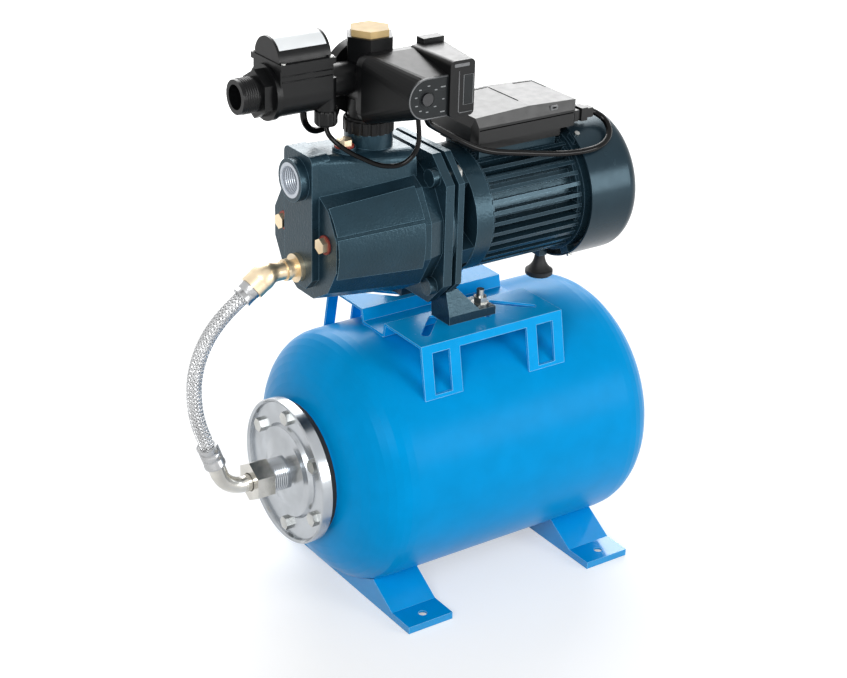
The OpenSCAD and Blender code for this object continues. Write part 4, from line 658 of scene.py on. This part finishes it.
BEND_X = -226
BEND_R = 22
ELBOW_STRAIGHT = [(-213, 9.2), (-217, 9.2), (-221, 9.25), (-223.5, 9.5)]
ELBOW_BEND = [(0, 10.3), (6, 11.5), (12, 12.4), (18, 12.9), (24, 13.1), (30, 13.2), (35, 13.2)]
ELBOW_END = [(1.5, 13), (3, 12.5), (4.5, 11.9), (6, 11.7), (8, 12), (10.5, 12), (11.8, 10.9)]
elbow = [(x, HOSE_PORT_Z, r) for x, r in ELBOW_STRAIGHT]
elbow += [(BEND_X - BEND_R * math.sin(math.radians(d)),
           HOSE_PORT_Z - BEND_R * (1 - math.cos(math.radians(d))), r) for d, r in ELBOW_BEND]
elbow += along_line(*UPPER_AXIS, ELBOW_END)
dress(sleeve("elbow_body", elbow), BRASS)


# Cap nut of the sensor's gland, and a band in black rubber behind the tank's flange that paints the
# shade in the gap under the flange's rim

GLAND_X, GLAND_Y, _ = middle("sensor_gland")
dress(knurled("gland_cap", GLAND_X, GLAND_Y, 518.8, 533.5, 10.2, 12, 1.0), BLACK)
dress(band("lip_shade_band", -202.3, -194, TANK_Z, 70.1, 0.9, 0, 360), RUBBER)


# Flow sensor: blank sticker on the round cover, and two beads under it

COVER_R = 23
COVER_Z = corners("sensor_cover")[1][2] - COVER_R
dress(band("sensor_sticker", -226.5, -176, COVER_Z, COVER_R + 0.06, 0.12, -58, 55), STICKER)
for k, z in enumerate((OUTLET_Z + 20.1, OUTLET_Z + 14.6)):
    bead = [(x, -25, z) for x in (-227, -200, -173)]
    dress(rod_along(f"sensor_bead_{k}", bead, 0.6), BLACK)


# Pressure control: bead round the panel, ring round the button, and dashes on the panel

DIAL_X, _, DIAL_Z = middle("restart_button")
PANEL_Y = corners("control_panel")[0][1]
PANEL_R = 19.4        # of the bead round the panel's round end
PANEL_END_X = -86
BEAD_Y = PANEL_Y - 0.1
panel_bead = [(PANEL_END_X, BEAD_Y, DIAL_Z + PANEL_R)]
panel_bead += arc(DIAL_X, DIAL_Z, PANEL_R, 90, 270, BEAD_Y, 32)
panel_bead += [(PANEL_END_X, BEAD_Y, DIAL_Z - PANEL_R)]
button_ring = arc(DIAL_X, DIAL_Z, 8.2, 0, 345, PANEL_Y, 30)
# The panel's bead is pale grey as a painted highlight on its rim.
dress(rod_along("panel_bead", panel_bead, 0.7), BEAD)
dress(rod_along("button_ring", button_ring, 0.35, closed=True), PANEL)
dashes = [(-91, 564, 5.5), (-90.5, 552, 2.6), (-91, 539.8, 5.5)]
dashes += [(x, z, 3.0)
           for x, z in on_circle(DIAL_X, DIAL_Z, 12.6, (38, 82, 128, 166, 204, 236, 272, 318))]
for k, (x, z, width) in enumerate(dashes):
    dress(tile(f"panel_mark_{k}", x, PANEL_Y, z, width, 1.1, 0.25, corner=0.5), MARK)


# Column beside the panel: plain label with its frame, small window, and the line round them

COLUMN_Y = corners("control_housing")[0][1]
LABEL_X = (-69.5, -58.6)
LABEL_Z = (543.6, 572.6)
label_frame = [(LABEL_X[0], COLUMN_Y, LABEL_Z[1]), (LABEL_X[0], COLUMN_Y, LABEL_Z[0]),
               (LABEL_X[1], COLUMN_Y, LABEL_Z[0]), (LABEL_X[1], COLUMN_Y, LABEL_Z[1])]
column_line = [(-75, COLUMN_Y, 577), (-75, COLUMN_Y, 537.5), (-73.5, COLUMN_Y, 536.3),
               (-59, COLUMN_Y, 536.3)]
dress(rod_along("label_frame", label_frame, 0.28, closed=True), MARK)
dress(tile("label_plate", sum(LABEL_X) / 2, COLUMN_Y, sum(LABEL_Z) / 2, 9.6, 27.6, 0.12,
           corner=0.4), PANEL)
# The column's window is pale grey as a painted highlight.
dress(tile("column_window", -72, COLUMN_Y, 582.6, 17, 3.2, 0.2, corner=0.8), BEAD)
dress(rod_along("column_line", column_line, 0.5), BEAD)


# Terminal box: groove across the lid and round its far edge, seam line, clip on the near edge

LID_LOW, LID_TOP = corners("terminal_lid")
SEAM_Y, SEAM_Z = LID_LOW[1:]
GROOVE_X, GROOVE_Z = 51.6, LID_TOP[2] - 0.3
FAR_Y = 33
LID_LINES = (
    ("lid_groove", 0.75, [(GROOVE_X, y, GROOVE_Z) for y in (31, 5, -19)]),
    ("lid_far_line", 0.6, [(-8, FAR_Y, 505.7), (20, FAR_Y, 506.7), (GROOVE_X, FAR_Y, GROOVE_Z)]),
    ("lid_end_line", 0.6, [(84, FAR_Y, 506.4), (109, FAR_Y, 505.3), (109, 10, 505.3)]),
    ("lid_seam", 0.55, [(x, SEAM_Y, SEAM_Z) for x in (-11, 40, 107)]),
)
# The lid's groove, lines and seam are dark rods in painted shade.
for name, radius, points in LID_LINES:
    dress(rod_along(name, points, radius), PAINTED_SHADE)
# The clip is pale grey as a painted highlight.
dress(tile("lid_clip", 82, -39.2, 501.5, 10, 5, 1.6, corner=1.2), BEAD)
# The clip's slot is a dark tile in painted shade.
dress(tile("lid_clip_slot", 82, -40.7, 501.5, 5, 1.6, 0.3, corner=0.6), PAINTED_SHADE)


# Raised pads on the cone of the casing: where they start and end, and how far their edges rise

PADS = (("casing_pad_upper", 43, 70, 1.0), ("casing_pad_lower", 73, 112, 0.8))
for name, deg0, deg1, swell in PADS:
    dress(band(name, -187, -94, PUMP_Z, (60.6, 71.4), 0.5, deg0, deg1, rows=12, swell=swell), CAST)


# Floor, backdrop and soft studio light, in metres

FLOOR_HALF = 9
FLOOR_Z = -0.0005
FLOOR_GLOW = (0.46, 1.0)      # near the object and far away
GLOW_REACH = (1.0, 3.5)       # distances from the origin between which the glow rises
WORLD_LIGHT = 0.34


def white_rays(tree):
    """1 for rays of the camera, reflections and clear materials, 0 for all others."""
    rays = shader_node(tree, "LightPath")
    first = shader_node(tree, "Math", operation="MAXIMUM")
    white = shader_node(tree, "Math", operation="MAXIMUM")
    tree.links.new(rays.outputs["Is Camera Ray"], first.inputs[0])
    tree.links.new(rays.outputs["Is Glossy Ray"], first.inputs[1])
    tree.links.new(first.outputs[0], white.inputs[0])
    tree.links.new(rays.outputs["Is Transmission Ray"], white.inputs[1])
    return white.outputs[0]


def floor_material():
    """Matt pale floor that shows white and keeps the object's shadow."""
    mat = bpy.data.materials.new("floor")
    mat.use_nodes = True
    tree = mat.node_tree
    link = tree.links.new
    matt = tree.nodes["Principled BSDF"]
    matt.inputs["Base Color"].default_value = linear(rgb(206, 206, 206))
    matt.inputs["Roughness"].default_value = 0.9
    matt.inputs["Specular IOR Level"].default_value = 0.1
    place = shader_node(tree, "TexCoord")
    away = shader_node(tree, "VectorMath", operation="LENGTH")
    rise = shader_node(tree, "MapRange", {"From Min": GLOW_REACH[0], "From Max": GLOW_REACH[1],
                                          "To Min": FLOOR_GLOW[0], "To Max": FLOOR_GLOW[1]})
    strength = shader_node(tree, "Math", operation="MULTIPLY")
    glow = shader_node(tree, "Emission", {"Color": (1, 1, 1, 1)})
    both = shader_node(tree, "AddShader")
    link(place.outputs["Object"], away.inputs[0])
    link(away.outputs["Value"], rise.inputs["Value"])
    link(white_rays(tree), strength.inputs[0])
    link(rise.outputs["Result"], strength.inputs[1])
    link(strength.outputs[0], glow.inputs["Strength"])
    link(matt.outputs["BSDF"], both.inputs[0])
    link(glow.outputs["Emission"], both.inputs[1])
    link(both.outputs["Shader"], tree.nodes["Material Output"].inputs["Surface"])
    return mat


def studio_world():
    """Dim white light from all round, and full white for the rays that show the background."""
    world = bpy.data.worlds.new("studio")
    world.use_nodes = True
    tree = world.node_tree
    sky = tree.nodes["Background"]
    sky.inputs["Color"].default_value = (1, 1, 1, 1)
    sky.inputs["Strength"].default_value = WORLD_LIGHT
    pure = shader_node(tree, "Background", {"Color": (1, 1, 1, 1), "Strength": 1.0})
    mix = shader_node(tree, "MixShader")
    tree.links.new(white_rays(tree), mix.inputs["Fac"])
    tree.links.new(sky.outputs["Background"], mix.inputs[1])
    tree.links.new(pure.outputs["Background"], mix.inputs[2])
    tree.links.new(mix.outputs["Shader"], tree.nodes["World Output"].inputs["Surface"])
    return world


def lamp(name, place, target, size, power):
    """A rectangular lamp that shines from a place to a target. The camera doesn't see it."""
    data = bpy.data.lights.new(name, "AREA")
    data.shape = "RECTANGLE"
    data.size, data.size_y = size
    data.energy = power
    obj = bpy.data.objects.new(name, data)
    obj.location = place
    obj.rotation_euler = (Vector(target) - Vector(place)).to_track_quat("-Z", "Y").to_euler()
    scene.collection.objects.link(obj)
    obj.visible_camera = False


floor_corners = [(x * FLOOR_HALF, y * FLOOR_HALF, FLOOR_Z)
                 for x, y in ((-1, -1), (1, -1), (1, 1), (-1, 1))]
floor = new_mesh("floor", floor_corners, [(0, 1, 2, 3)])
floor.data.materials.append(floor_material())
scene.world = studio_world()
lamp("key", (-1.9, -1.9, 1.7), (0, 0, 0.3), (1.5, 1.1), 48)
lamp("side", (1.45, -2.2, 0.8), (0, 0, 0.4), (1.2, 1.0), 29)
lamp("rear", (1.3, 1.9, 1.75), (0, 0, 0.45), (2.7, 1.85), 86)
